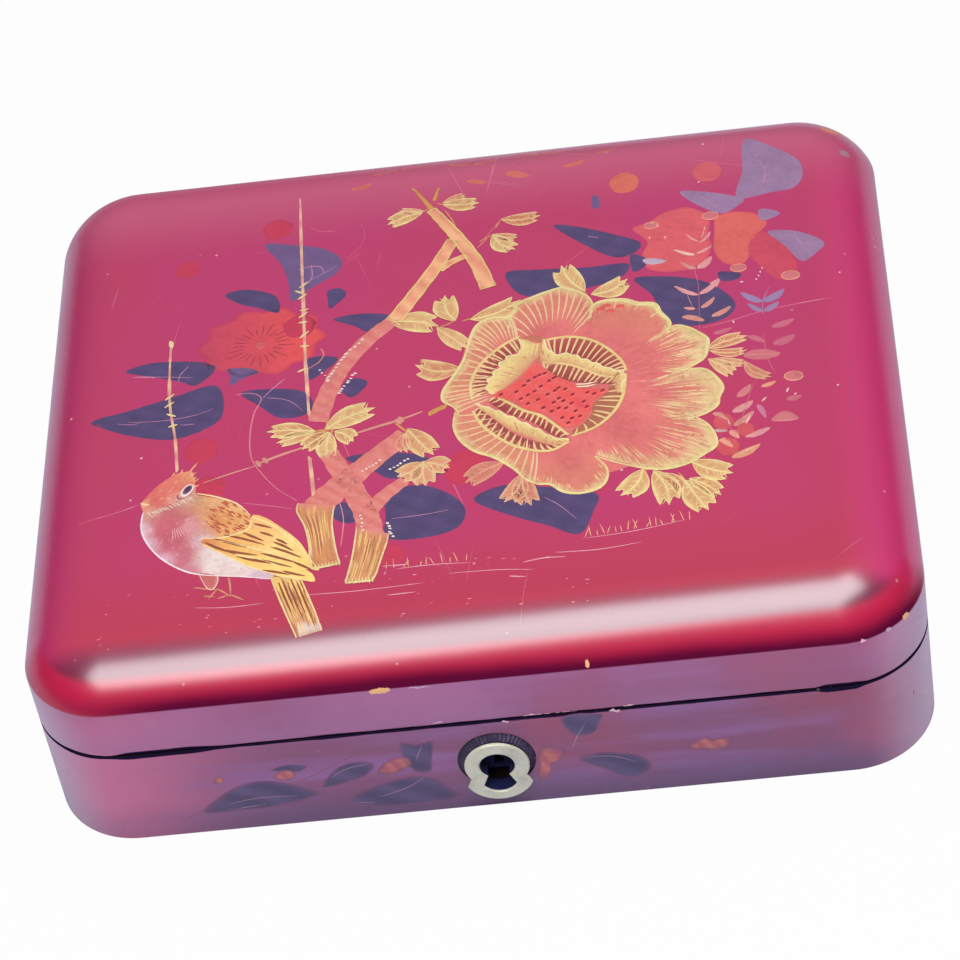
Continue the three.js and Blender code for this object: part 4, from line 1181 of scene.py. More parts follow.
for left, right in STUMPS:
    left_edge = smooth_line(left, 4)
    right_edge = smooth_line(right, 4)
    sides = [0, 0.06, 0.2, 0.4, 0.6, 0.8, 0.94, 1]
    rows = [[between(a, b, s) for s in sides] for a, b in zip(left_edge, right_edge)]
    branch.sheet(rows, 0.12, stump_tint)
    for k in range(34):
        share = vary(0.05, 0.95)
        begin = brush.randrange(0, 12)
        finish = min(begin + brush.randrange(6, 14), len(left_edge) - 1)
        line = [between(a, b, share)
                for a, b in zip(left_edge[begin:finish + 1:3], right_edge[begin:finish + 1:3])]
        tint = blend_tint(BARK_BROWN, BARK_GOLD, brush.random() ** 0.7)
        branch.stroke(line, vary(0.25, 0.6), 0.16, tint + (0.4,), start=0.3, end=0.1, steps=2)
    for edge in (left_edge, right_edge):
        branch.stroke(edge, 0.42, 0.18, GOLD_PALE, start=0.5, end=0.9, steps=1)
    branch.stroke([left_edge[-1], right_edge[-1]], 0.6, 0.18, GOLD_PALE, start=0.9, end=0.9, steps=3)
    for k in range(9):
        u, v = between(left_edge[-1], right_edge[-1], k / 8)
        branch.stroke([(u, v + 1.2), (u + 0.1, v - vary(0.1, 0.8))], 0.35, 0.19, GOLD_PALE,
                      start=0.5, end=0.2, steps=2)
# Each row of thorns: where it begins and ends, how many there are, and which way they lean.
THORN_LINES = [
    ((-30.6, 0.2), (-26.2, 8.6), 9, -0.7), ((-26.2, 8.6), (-22.6, 12.6), 5, -0.7),
    ((-28.6, -4.6), (-24.8, 1.6), 9, 0.6), ((-22.5, -30.5), (-18.5, -27.8), 6, 0.4),
    ((-16.5, -31), (-12.5, -28.2), 6, 0.5), ((-17, -47.5), (-15.8, -51.5), 6, 0.6),
    ((-23, -44), (-22.4, -48.5), 5, 0.4), ((-33.2, 4), (-31, 0.8), 4, 0.3),
]
for begin, finish, count, out in THORN_LINES:
    for k in range(count):
        u, v = between(begin, finish, k / (count - 1))
        u += vary(-0.25, 0.25)
        v += vary(-0.2, 0.2)
        size = vary(0.4, 0.7)
        branch.stroke([(u, v), (u + out * 1.2, v - 0.3)], size, 0.17, THORN, start=0.7, end=0.3, steps=2)
branch.dry("lid", raised_paint)


# Two thin bamboo stakes are drawn in pinkish gold with gold ties round them, and a cord runs from
# one to the other. The same fine brush drew the hair lines that stray over the ground.

STAKE = (212, 138, 132)
STAKE_PALE = (236, 196, 150, 0.7)
fine = Paint("lid_fine_gold", on_lid)


def stake_tint(u, v, r, c):
    return blend_tint(STAKE_PALE[:3], STAKE, wave(v * 0.9))


LEFT_STAKE = [(-68.8, 20.5), (-68.6, 8), (-68, -2), (-66.3, -13), (-65.3, -24)]
RIGHT_STAKE = [(-39.2, 68), (-38.4, 50), (-37.4, 30), (-36.4, 10), (-35, -11.5)]
STAKE_FOOT = [(-34.7, -24), (-34, -31), (-33.3, -38.8)]
fine.stroke(LEFT_STAKE, 0.95, 0.08, stake_tint, start=0.5, end=0.8, steps=8)
fine.stroke(RIGHT_STAKE, 1.1, 0.08, stake_tint, start=0.4, end=0.9, steps=8)
fine.stroke(STAKE_FOOT, 1.0, 0.09, stake_tint, start=0.9, end=0.9, steps=6)
fine.stroke([(-68.8, 20.6), (-68.6, 17.8)], 1.1, 0.14, GOLD_PALE, start=0.8, end=0.5, steps=3)
TIES = [
    (-37.4, 34.6, 0.9), (-38.4, 32.2, -0.7), (-37.6, 30.4, 0.8), (-37, 25.6, 0.1), (-37.2, 23.8, 0.9),
    (-37.2, 21.2, 0.0), (-36.8, 16.8, 1.1), (-36.6, 12.8, -0.1), (-37, 4.6, 0.5), (-68.2, 1.2, 0.9),
    (-68.2, -1.4, 0.8), (-67.6, -5, -0.6), (-67, -8.6, 0.2),
]
for u, v, slope in TIES:
    fine.stroke([(u - 1.1, v - slope), (u + 1.1, v + slope)], 0.6, 0.15, GOLD_PALE, start=0.5, end=0.5,
                steps=3)
CORD = (222, 150, 128, 0.6)
FAINT = (204, 96, 122)
CORDS = [
    ([(-59.5, -28.6), (-53, -26.6), (-47, -25)], 0.5, CORD),
    ([(-47, -24.6), (-41, -22.4), (-35.5, -20.8)], 0.8, CORD),
    ([(-25, -18.6), (-19, -16.9), (-14, -15.6), (-8.6, -13.6)], 0.8, CORD),
    ([(-88, -36.5), (-80, -34.8), (-73.5, -32.8)], 0.3, FAINT),
    ([(-50, -36.2), (-44, -38), (-38, -40)], 0.35, FAINT),
    ([(-52.5, -0.9), (-49, -1), (-46.4, -3.2), (-48, -8), (-48.7, -15), (-48.2, -22), (-46, -27),
     (-42, -33), (-37.2, -37.6)], 0.38, (214, 128, 136)),
    ([(-41, 2.6), (-44, -0.6), (-46.2, -3.4)], 0.38, VEIN),
    ([(-32.8, 11.5), (-32, 9), (-33.6, 6.2), (-36.8, 4.4)], 0.4, (222, 140, 120)),
    ([(-39, 40.4), (-36, 41.2), (-33.4, 40.6), (-32.6, 38)], 0.45, VEIN),
    ([(-35.8, 42.2), (-35.4, 37.6), (-36.4, 35)], 0.4, VEIN),
    ([(-64, 11.2), (-66, 8.4), (-66.4, 6)], 0.35, VEIN),
    ([(-24, 55.5), (-23, 51), (-24, 46.5), (-27, 42.6)], 0.25, FAINT),
    ([(-36.4, 56.2), (-34, 54.2), (-30, 53.5)], 0.25, FAINT),
    ([(56, 5.2), (63, 7), (70, 9.3), (78, 11), (87, 12.4)], 0.35, FAINT),
    ([(7.6, 45.8), (4.2, 41)], 0.4, (218, 130, 110)),
    ([(10.4, 51.5), (7.6, 47), (5, 43)], 0.3, (210, 110, 110)),
    ([(-3.6, 57), (-1.8, 53), (-1, 50.4)], 0.4, GOLD_DEEP),
    ([(-28, -37.6), (-26.6, -45), (-27.2, -53)], 0.35, (226, 140, 120)),
]
for points, width, tint in CORDS:
    fine.stroke(points, width, 0.07, tint, start=0.7, end=0.5, steps=5)
for u, v in ((-46.4, -24.6), (-44.8, -23.8), (-14.2, -16.2), (-13.6, -15.6)):
    fine.stroke([(u - 0.5, v + 1.0), (u + 0.4, v - 1.0)], 1.0, 0.14, CORD, start=0.7, end=0.7, steps=3)


# Gold leaves in threes stand out from the branch: each is a toothed leaf of gold, thin at its
# edge, with fine veins. Faint ones lie in the ground above the branch's tip.

GOLD_LEAVES = [
    ((-9, 57), (-17.5, 53.6), 4.8, 1.0), ((-8.6, 57.4), (-14.6, 58.6), 2.6, 0.7),
    ((-4, 59), (4.8, 58.2), 4.6, 1.0), ((-4, 59.6), (1.6, 62), 2.2, 0.6),
    ((10, 50.8), (19.6, 50.8), 4.4, 0.8), ((8, 45.6), (13.4, 39), 4.8, 1.0),
    ((8.4, 45.4), (14, 43.4), 2.8, 0.8), ((-16.5, 17.6), (-5, 14.4), 6.8, 1.0),
    ((-1, 15.6), (-3.4, 25), 5.8, 1.0), ((2.6, 15.4), (14.4, 20.6), 5.8, 1.0),
    ((-5.4, 14), (2, 5.6), 4.6, 0.9), ((0.4, -1), (-10.4, 2.0), 6.4, 0.9),
    ((29.6, 21.4), (24.2, 31.4), 6.2, 1.0), ((31, 20), (39.6, 24.4), 5.6, 1.0),
    ((-33.4, -16.2), (-44.8, -14.6), 4.6, 1.0), ((-33.6, -16.4), (-42.4, -18.6), 3.8, 0.95),
    ((-31.2, -16), (-19.6, -10.8), 6.2, 1.0), ((-30.2, -17), (-36.4, -21.6), 4.4, 1.0),
    ((-30, -17.4), (-30.4, -25.6), 4.6, 1.0), ((-29, -17), (-24.6, -21), 4.4, 1.0),
    ((-12.2, -18.8), (-6.2, -28), 5.8, 0.9), ((-12.6, -20), (-12.2, -26.4), 3.2, 0.7),
    ((-8.4, -30), (-14.6, -33.6), 5.4, 0.8), ((-8.6, -29.6), (-8, -37.4), 5.4, 0.75),
    ((-8.4, -30), (-2.6, -32.6), 5.0, 0.75), ((9.6, -32.6), (0.8, -37.8), 5.2, 0.45),
    ((13.6, -36.6), (9.4, -44.8), 5.0, 0.6), ((13.8, -36.6), (15.6, -46.6), 5.4, 0.6),
    ((40.8, -38.6), (35.4, -46.2), 6.0, 1.0), ((43, -39.4), (46, -50.4), 6.0, 1.0),
    ((44.2, -40.4), (49.4, -47.6), 3.4, 0.9), ((50, -43.4), (54.6, -53), 6.2, 1.0),
    ((50.8, -43), (57.6, -48.8), 4.4, 1.0), ((51.6, -37.8), (60.6, -42.4), 6.0, 1.0),
    ((57, -2), (66.4, 1.4), 3.8, 0.8), ((57.4, -2.6), (66, -3.4), 2.6, 0.7),
    ((57, -5.4), (62.4, -11.4), 3.8, 0.8), ((58.4, -5.4), (65.4, -7.8), 2.6, 0.7),
    ((65, -7), (71, -13), 3.0, 0.55),
]
FAINT_LEAVES = [
    ((-15, 76), (-8, 77.6), 2.6), ((-15, 76), (-22, 74.6), 2.8), ((3, 74), (9.6, 75.8), 2.8),
    ((3, 74), (-3.4, 75.6), 2.4), ((11, 69), (17.4, 66.8), 3.0), ((20, 76), (26.6, 76.8), 2.6),
    ((20, 76), (13.6, 77.4), 2.4), ((25, 69), (31, 70.6), 2.4), ((33, 73), (38.6, 74.4), 2.4),
    ((1.6, 67.6), (7, 65.8), 2.2), ((-21, 70.6), (-27, 68.6), 2.4),
]
FAINT_GOLD = (214, 106, 92, 0.2)
LEAF_BODY = (206, 128, 84)
LEAF_RIM = (246, 226, 152)
LEAF_TEETH = [
    (0.0, 0.03), (0.16, 0.26), (0.34, 0.42), (0.55, 0.50), (0.70, 0.47), (0.90, 0.40), (0.80, 0.22),
    (0.86, 0.10), (1.0, 0.0), (0.84, -0.10), (0.80, -0.24), (0.92, -0.34), (0.72, -0.46), (0.55, -0.50),
    (0.34, -0.42), (0.16, -0.24),
]


def gold_leaf(base, tip, width, strength):
    """A broad leaf with three teeth: pale at its rim, warmer inside, with fine veins."""
    run_u = tip[0] - base[0]
    run_v = tip[1] - base[1]
    length = hypot(run_u, run_v)
    dir_u, dir_v = run_u / length, run_v / length
    lean = vary(-0.14, 0.14) * length
    body = blend_tint(LEAF_BODY, LEAF_RIM, vary(0.05, 0.55))

    def placed(along, across):
        bow = lean * sin(pi * along)
        side = across * width + bow
        return (base[0] + run_u * along - dir_v * side, base[1] + run_v * along + dir_u * side)

    def shade(u, v):
        along = ((u - base[0]) * dir_u + (v - base[1]) * dir_v) / length
        side = (-(u - base[0]) * dir_v + (v - base[1]) * dir_u - lean * sin(pi * along)) / width
        light = (abs(side) / 0.46) ** 4 + 0.5 * exp(-(side / 0.07) ** 2) + 0.5 * max(0.0, along - 0.5)
        gold = blend_tint(body, LEAF_RIM, min(1.0, light))
        return blend_tint(LACQUER, gold, 0.35 + 0.65 * strength) + (0.6 * strength,)

    outline = [placed(*corner) for corner in LEAF_TEETH]
    fine.patch(outline, 0.07, shade, rings=(1.0, 0.9, 0.65, 0.4, 0.2), steps=3)
    pale = blend_tint(LACQUER, LEAF_RIM, 0.4 + 0.6 * strength) + (0.8 * strength,)
    fine.stroke([placed(s, 0) for s in (0.0, 0.3, 0.6, 0.95)], 0.42, 0.12, pale, start=0.9, end=0.4,
                steps=3)
    for side in (outline[:9], outline[8:] + outline[:1]):
        fine.stroke(side, 0.32, 0.12, pale, start=0.5, end=0.6, steps=2)
    for k in range(9):
        along = 0.12 + k * 0.085
        side = brush.choice((-1, 1))
        vein = [placed(along, 0.02 * side), placed(along + 0.14, side * vary(0.22, 0.4))]
        fine.stroke(vein, vary(0.15, 0.3), 0.115, pale, start=0.9, end=0.2, steps=2)


for base_point, tip, width, strength in GOLD_LEAVES:
    gold_leaf(base_point, tip, width, strength)
for base_point, tip, width in FAINT_LEAVES:
    fine.stroke([base_point, tip], width * 0.8, GROUND_COAT, FAINT_GOLD, start=0.3, end=0.1, steps=5,
                bulge=0.5)
GOLD_STEMS = [
    ([(-15.5, 17.6), (-18, 17.6)], 0.5), ([(-1, 16), (-2.5, 15), (-5, 14)], 0.45),
    ([(3, 16), (0.5, 15.4)], 0.45), ([(0, -1), (3, -2)], 0.6), ([(29.5, 21.5), (30, 19)], 0.5),
    ([(-33.5, -16), (-30, -16.4)], 0.8), ([(-30, -18), (-29.5, -15.5), (-31.5, -13)], 0.7),
    ([(-12, -20), (-13.6, -18.2), (-15, -16.4)], 0.6), ([(41, -39), (43.4, -38.6), (46, -38)], 0.5),
    ([(50, -43.5), (48.6, -40.6)], 0.5), ([(52, -38), (50.4, -37)], 0.5), ([(-9, 57), (-7.4, 58.4)], 0.4),
    ([(-4, 59), (-5.4, 60)], 0.4), ([(8, 45.5), (4.6, 43.4)], 0.4), ([(10, 51), (8.6, 47.6)], 0.35),
    ([(-7.5, -15), (-5.4, -13.6), (-3, -12.6)], 1.5),
]
for points, width in GOLD_STEMS:
    fine.stroke(points, width, 0.09, GOLD_DEEP, start=0.8, end=0.8, steps=3)
FAINT_TWIGS = [
    [(-30, 72.6), (-20, 74.4), (-8, 75.8), (4, 73.8), (12, 72)],
    [(12, 72), (20, 75.8), (30, 73.4), (38, 72.6)],
]
for points in FAINT_TWIGS:
    fine.stroke(points, 0.35, GROUND_COAT, FAINT_GOLD, start=0.5, end=0.4, steps=5)
# Two spots at the far corner, where the lacquer has been touched in.
fine.patch([(88.5, 76.5), (91.6, 76.8), (93.4, 75), (91, 73.6), (88.6, 74.6)], 0.03, (226, 126, 84))
fine.patch([(92.2, 66.8), (94, 67), (94.4, 65.4), (92.6, 65)], 0.03, (170, 130, 140))


# Thin twigs with small leaves and ring-shaped buds grow on the right, drawn with a fine brush in
# pinkish gold and slate over the leaves and blossoms.

TWIG_PINK = (222, 148, 146)
TWIG_TAN = (212, 138, 124)
TWIG_FAINT = (198, 96, 116)
TWIG_SLATE = (150, 124, 164)
TWIG_GOLD = (230, 158, 118, 0.3)
TWIG_STEMS = [
    ([(55.6, 4.5), (55.8, 12), (56, 20), (55.4, 27), (56.6, 35), (58.6, 40.6)], TWIG_FAINT),
    ([(53.2, 17.4), (54.4, 12)], TWIG_TAN), ([(70.4, 8.4), (70.6, 13), (72.6, 18)], TWIG_SLATE),
    ([(60.6, -36.6), (62, -30), (64, -24), (66, -17), (68, -12)], TWIG_FAINT),
    ([(70, 2), (70.4, -6), (72, -12)], TWIG_FAINT), ([(62, -30), (60, -27), (57.4, -23.4)], TWIG_FAINT),
]
TWIG_LEAVES = [
    ((57, 35.4), (53.8, 38.8), 1.1, TWIG_PINK), ((57, 35), (59.8, 38.8), 1.1, TWIG_PINK),
    ((57.4, 36.6), (58.4, 40.4), 0.6, TWIG_PINK), ((56, 30.8), (50.8, 33.4), 1.7, (236, 190, 172)),
    ((56, 31.2), (59.8, 33.8), 1.5, TWIG_PINK), ((55.8, 26), (52, 28.8), 1.6, TWIG_TAN),
    ((56, 26), (59.6, 29.8), 2.0, TWIG_PINK), ((56, 16.6), (50.2, 20.6), 2.2, TWIG_PINK),
    ((56, 16.8), (61, 21.8), 2.5, TWIG_PINK), ((56.2, 12), (59.6, 15.6), 2.2, TWIG_TAN),
    ((55, 12), (52.2, 12.6), 1.8, TWIG_TAN), ((51.6, 9.6), (57, 7.6), 2.9, TWIG_TAN),
    ((58.4, 8.8), (63.2, 12), 2.6, TWIG_TAN), ((70.4, 12.6), (65.6, 16.4), 1.9, TWIG_SLATE),
    ((70.6, 12.6), (75.8, 16.4), 2.1, TWIG_SLATE), ((70.4, 9.4), (67, 12.4), 1.4, TWIG_SLATE),
    ((70.6, 9.4), (74.2, 12.2), 1.8, TWIG_SLATE), ((58.6, 3), (63, 4.6), 1.5, TWIG_FAINT),
    ((72, 3.8), (77.4, 6), 1.9, TWIG_FAINT), ((72, -2), (77.2, 0.6), 2.4, TWIG_FAINT),
    ((66.4, 1.2), (70.2, -1.2), 1.7, TWIG_FAINT), ((65, -5), (73.6, -5.4), 3.4, (202, 108, 112)),
    ((62.8, -18.4), (66.2, -14.7), 1.9, (210, 122, 122)), ((68.4, -15.7), (71.9, -14.3), 1.2, TWIG_GOLD),
    ((61.5, -23.2), (66.4, -20.0), 2.0, TWIG_PINK), ((67.2, -21.4), (68.9, -26), 1.4, (198, 116, 142)),
    ((61.5, -27.6), (66.4, -23.3), 1.9, TWIG_TAN), ((57.1, -23), (60.9, -26.1), 1.7, TWIG_TAN),
    ((63.9, -31.4), (69.7, -29), 1.7, TWIG_PINK), ((60.5, -29.1), (62.5, -31.7), 1.7, (230, 152, 132)),
    ((58.1, -31.6), (61.2, -34.4), 2.4, (228, 154, 124)), ((60.5, -37.5), (67.2, -34), 2.1, TWIG_GOLD),
    ((57, -28.6), (60.2, -29), 1.1, (190, 152, 152)), ((73.8, -20.4), (77.4, -19.6), 1.7, TWIG_FAINT),
]
for points, tint in TWIG_STEMS:
    fine.stroke(points, 0.3, 0.05, tint, start=0.6, end=0.4, steps=6)
for foot_point, tip, width, tint in TWIG_LEAVES:
    bowed = (between(foot_point, tip, 0.5)[0], between(foot_point, tip, 0.36)[1])
    fine.stroke([foot_point, bowed, tip], width, 0.05, tint, start=0.25, end=0.2, steps=5, bulge=0.2)
    lit = blend_tint(tint[:3], (244, 206, 178), 0.35)
    fine.stroke([foot_point, bowed, tip], 0.22, 0.09, lit, start=0.9, end=0.3, steps=4)
fine.patch([(70, -26.9), (71.4, -25), (73.1, -24.1), (75, -25), (76.2, -27), (73, -27.4)], 0.05,
           (204, 112, 114))
fine.patch([(43.4, 30.9), (46, 31), (49.2, 29.6), (46.4, 28.7), (44, 29.3)], 0.05, (190, 164, 178))
RINGS = [(60, 44.5, 1.9), (65.6, 25, 1.8), (77.5, 21, 2.1), (76, -13, 2.1), (46, 43, 1.7)]
for u, v, radius in RINGS:
    turns = [k * pi / 5 for k in range(11)]
    ring = [(u + radius * cos(turn), v + radius * 0.7 * sin(turn)) for turn in turns]
    fine.patch(ring[:10], 0.04, (206, 112, 112))
    fine.stroke(ring, 0.4, 0.07, (236, 164, 126, 0.3), start=1, end=1, steps=2)
TICKS = [
    ((64.1, -27.7), (65.9, -23.6)), ((61, -37.2), (67, -34.2)), ((73.9, -18.2), (74.7, -16.6)),
    ((68.2, -20.5), (69.5, -19.2)), ((69.4, 20.2), (69.6, 20.8)), ((70, 21.4), (70.2, 22)),
    ((70.5, 22.7), (70.7, 23.3)), ((71, 24), (71.2, 24.6)), ((65.6, 20), (66.6, 20)),
    ((63.4, 6), (63.4, 7.2)), ((88.6, 21.4), (89.2, 21.6)), ((85.4, -17), (86, -16.8)),
    ((58.2, 39.4), (58.6, 40.8)), ((45.2, 38), (45.4, 39)), ((48.8, 37.6), (49.2, 38.8)),
    ((57.6, 57.4), (58.2, 57.6)), ((45.4, 44), (47, 43.6)), ((46.8, 42.4), (47.8, 43.4)),
    ((75.6, -19), (76.4, -18.6)), ((60.4, -25.6), (60.8, -27.6)),
]
for begin, finish in TICKS:
    fine.stroke([begin, finish], 0.5, 0.1, (242, 204, 184), start=0.7, end=0.5, steps=2)


# The ground is a few thin strokes and grass blades below the stumps, with stray specks, all hair
# lines of pale pink and gold.

GROUND = (226, 168, 176)
GRASS_GOLD = (232, 172, 130, 0.3)
GROUND_LINES = [
    ([(-18, -60), (-12, -60.2)], 0.4), ([(-15, -61.2), (-6, -61), (2, -61.6)], 0.25),
    ([(13, -63), (18, -62.3), (23, -62.6)], 0.35), ([(20, -61), (30, -61.4), (40, -60.4)], 0.25),
    ([(-17, -68.5), (-10, -68.4)], 0.3), ([(10, -66.5), (14, -67.2)], 0.4),
    ([(-4, -64), (8, -64.4), (16, -65.4)], 0.2), ([(26, -57.8), (38, -57), (50, -55)], 0.2),
    ([(-60, -66.5), (-52, -67.4), (-44, -67.2)], 0.2), ([(-36, -66), (-24, -66.4), (-8, -66)], 0.2),
]
for points, width in GROUND_LINES:
    fine.stroke(points, width, 0.04, GROUND, start=0.4, end=0.3, steps=4)
GRASS = [(k * 1.35 + 27, -57.6 + k * 0.12) for k in range(18)] + [(k * 1.8 - 17, -61) for k in range(11)]
for u, v in GRASS:
    u += vary(-0.5, 0.5)
    tip = (u + vary(-1.4, 1.4), v + vary(1.4, 3.6))
    bent = ((u + tip[0]) / 2, v + (tip[1] - v) * 0.6)
    fine.stroke([(u, v), bent, tip], 0.28, 0.05, GRASS_GOLD, start=0.8, end=0.1, steps=2)
for k in range(60):
    u = vary(-82, 30)
    v = vary(-76, -60)
    end = (u + vary(0.3, 1.4), v + vary(-0.2, 0.2))
    width = vary(0.2, 0.45)
    fine.stroke([(u, v), end], width, 0.03, blend_tint(GROUND, LACQUER, vary(0.1, 0.5)),
                start=0.6, end=0.4, steps=2)
fine.dry("lid", raised_paint)


# The peony is built up in raised lacquer, petal by petal: coral outside with rims of pale gold,
# then the curled inner petals in brown coral with gold veins and frilled gold edges, round a
# dotted heart.

PETAL = (226, 116, 110)
PETAL_SHADE = (210, 100, 98)
PETAL_BROWN = (216, 142, 100)
PETAL_RIM = (238, 220, 148, 0.5)
RIB = (240, 200, 152, 0.4)
UNDER_PETALS = [
    (0, 0), (3, 11), (12, 13), (20, 19), (30, 13), (45, 9), (52, 1), (54, -14), (53, -28), (42, -36),
    (26, -40), (14, -35), (3, -25), (-1, -12),
]
# Each outer petal: its rim, the point its hairs run to, how far gold and brown reach in, its ribs.
OUTER_PETALS = [
    ([(14.5, -38), (17, -40.2), (20, -40.8), (23, -43.4), (27, -44.2), (31, -43), (32.8, -40),
     (32.4, -36.6), (30.2, -33.6)], (22, -24), 0.14, 0.5, 0),
    ([(30.2, -33.4), (36, -36.4), (41, -38.4), (46, -39.2), (51, -38), (54.6, -35.6), (57.4, -33.2),
     (57, -29), (55, -25.4), (51, -22.4)], (30, -20), 0.34, 0.25, 0),
    ([(48, -24), (54, -23.6), (58, -21), (58.8, -18), (59.8, -15), (58.4, -11.4), (56, -8.6), (52.4, -8.2),
     (48.6, -9)], (32, -14.6), 0.42, 0.3, 0),
    ([(49, -9), (52.6, -7.6), (56, -5), (57, -1.6), (57.2, 1.4), (55, 4), (52.6, 6), (50, 6.8), (46.8, 5)],
     (33, -6), 0.36, 0.3, 0),
    ([(48, 4.6), (48.8, 8), (46.6, 11.8), (45.4, 14.6), (41.6, 15.4), (38.6, 17), (34, 17.4), (31, 15.8),
     (30.6, 12)], (31, -4), 0.13, 0.5, 0),
    ([(-1.2, -15), (-1.6, -19.6), (-0.2, -24), (3, -28), (7.6, -30.8), (11.6, -34.6), (14.8, -38.8),
     (17, -40)], (18, -18), 0.13, 0.9, 13),
    ([(3.4, 11.4), (2, 6.6), (0.8, 1.6), (-1.6, -3.4), (-3.8, -7.6), (-4, -11), (-1.6, -13.4), (-0.4, -16)],
     (15, -8), 0.14, 0.9, 14),
    ([(1.4, 4), (2.6, 9.8), (4.6, 13.8), (8, 15.4), (11.6, 14.6), (13, 12)], (14, -1), 0.14, 0.9, 12),
    ([(11.4, 10), (12, 15), (14, 19.4), (17, 21), (20.4, 22.4), (24.4, 23.4), (27.4, 21.8), (30, 19.6),
     (31.2, 16), (30, 11)], (22, 1), 0.15, 0.6, 14),
]
peony = Paint("lid_peony", on_lid)


def coral_petal(u, v):
    return blend_tint(PETAL, PETAL_SHADE, 0.35 + 0.35 * sin(u * 0.35 + v * 0.2))


def ease(value):
    return min(1.0, max(0.0, value))


peony.patch(UNDER_PETALS, 0.04, coral_petal, rings=(1.0, 0.97, 0.8, 0.6, 0.4, 0.2))
for number, (rim, heart, gilt, browned, ribs) in enumerate(OUTER_PETALS):
    edge_line = smooth_line(rim, 8)
    last = len(edge_line) - 1
    rows = [[between(heart, spot, 0.12 + 0.88 * r / 14) for spot in edge_line] for r in range(15)]

    def petal_tint(u, v, r, c, gilt=gilt, browned=browned):
        side = min(1.0, 5 * min(c, 1 - c))
        reach = gilt * (0.75 + 0.25 * sin(c * 23)) * (0.45 + 0.55 * side)
        gold = ease(1.5 * (r - 1 + reach) / max(reach, 0.02))
        brown = browned * ease((r - 0.3) * 2.2) * (0.5 + 0.5 * side)
        colour = blend_tint(coral_petal(u, v), PETAL_BROWN, brown)
        return blend_tint(colour, PETAL_RIM[:3], 0.85 * gold) + (0.5 * gold,)

    peony.sheet(rows, 0.06 + 0.004 * number, petal_tint)
    peony.stroke(edge_line, 1.4 if number == 4 else 0.8, 0.14, PETAL_RIM, start=0.3, end=0.3, steps=1)
    for k in range(int(3 * len(edge_line) * (gilt + 0.2))):
        place = brush.randrange(2, last - 1)
        side = min(1.0, 5 * min(place / last, 1 - place / last))
        depth = gilt * vary(0.5, 1.3) * (0.4 + 0.6 * side)
        begin = vary(0.02, 0.5) * depth
        tint = blend_tint((242, 226, 158), (214, 122, 100), brush.random() ** 1.3)
        line = [between(edge_line[place], heart, share) for share in (begin, begin + depth * 0.8)]
        peony.stroke(line, vary(0.14, 0.34), 0.12, tint + (0.4,), start=0.5, end=0.05, steps=2)
    if gilt > 0.25:
        for k in range(26):
            place = brush.randrange(6, last - 5)
            begin = gilt * vary(0.25, 0.9)
            line = [between(edge_line[place], heart, begin), between(edge_line[place], heart, begin + 0.03)]
            peony.stroke(line, vary(0.3, 0.6), 0.125, (198, 140, 92), start=0.6, end=0.3, steps=2)
    for k in range(ribs):
        place = round(last * (k + 0.8) / (ribs + 0.6))
        turn = between(edge_line[place], heart, 0.26)
        line = [edge_line[place], (turn[0] + 0.3, turn[1] + 0.2), between(edge_line[place], heart, 0.5)]
        peony.stroke(line, 0.42, 0.15, RIB, start=1, end=0.1, steps=3)
for k in range(70):
    turn = vary(-1.5, 0.75)
    near = vary(13, 20)
    far = near + vary(3, 8)
    tint = blend_tint((240, 164, 144), PETAL, vary(0.2, 0.8))
    line = [(24 + reach * cos(turn), -10 + reach * sin(turn)) for reach in (near, far)]
    peony.stroke(line, 0.2, 0.105, tint, start=0.4, end=0.2, steps=3)
for spot in ((33, 14.6), (35.4, 13.6), (37.6, 15), (34.4, 15.6)):
    peony.patch(scalloped(spot, 1.2, 4, 0.15, 0.6, spot[0]), 0.13, (222, 92, 78), (232, 170, 120, 0.6))

CURL = (188, 90, 70)
CURL_DARK = (158, 58, 56)
CURL_BROWN = (178, 112, 70)
FRILL = (240, 214, 136)
FRILL_TAN = (214, 146, 104)
FRILL_SHADE = (184, 96, 72)
CURL_RIB = blend_tint(RIB[:3], FRILL, 0.5) + (0.4,)
# Curled petals: outer line, inner line, number of ribs, and how brown instead of red they are.
CURLED_PETALS = [
    ([(14, 8), (10, 5.4), (6, 1.4), (3.4, -3), (2.4, -7.4), (2.8, -11.6)], [(14.4, 2.4), (11, 1), (8.8, -2),
     (7.2, -5.4), (6.4, -8), (5.6, -10.6)], 17, 0.0),
    ([(20, 5.8), (25, 6.2), (30, 4.6), (34, 1.2), (37.2, -3.4), (38.2, -7)], [(21.8, 0.6), (25, -0.4),
     (28.6, -2), (31.4, -4.2), (34.4, -6.2), (37.4, -7.4)], 15, 0.1),
    ([(19, -1.6), (22.6, -2.4), (26, -3.6), (29.4, -5.8), (32.4, -7.8), (35.6, -8.8)], [(19.8, -3.8),
     (22.4, -6.8), (25.4, -8.8), (28.4, -9.8), (31.6, -10.4), (34.8, -11)], 13, 0.2),
    ([(8, -11.2), (11, -13.8), (14.4, -16.8), (18, -18.8), (20.8, -21.6), (24.4, -26)], [(6.6, -13),
     (10.6, -17.4), (14.6, -20), (18, -22.6), (21, -25.6), (23.6, -27.2)], 14, 0.0),
    ([(2.8, -15.4), (5, -20.4), (9, -25.2), (14, -28.8), (20, -30.4), (24.6, -28)], [(4.6, -14.6),
     (8, -18.8), (12, -23.4), (16, -26.4), (20, -28.6), (23.6, -28)], 15, 0.1),
    ([(38, -7.8), (37.6, -12.4), (36.6, -16.6), (34.4, -20.6), (30.4, -24.4), (25.2, -26.4)],
     [(34.6, -10.6), (33, -14), (30.4, -16.8), (29.8, -20), (27.8, -22.8), (25.4, -24.6)], 11, 0.8),
]
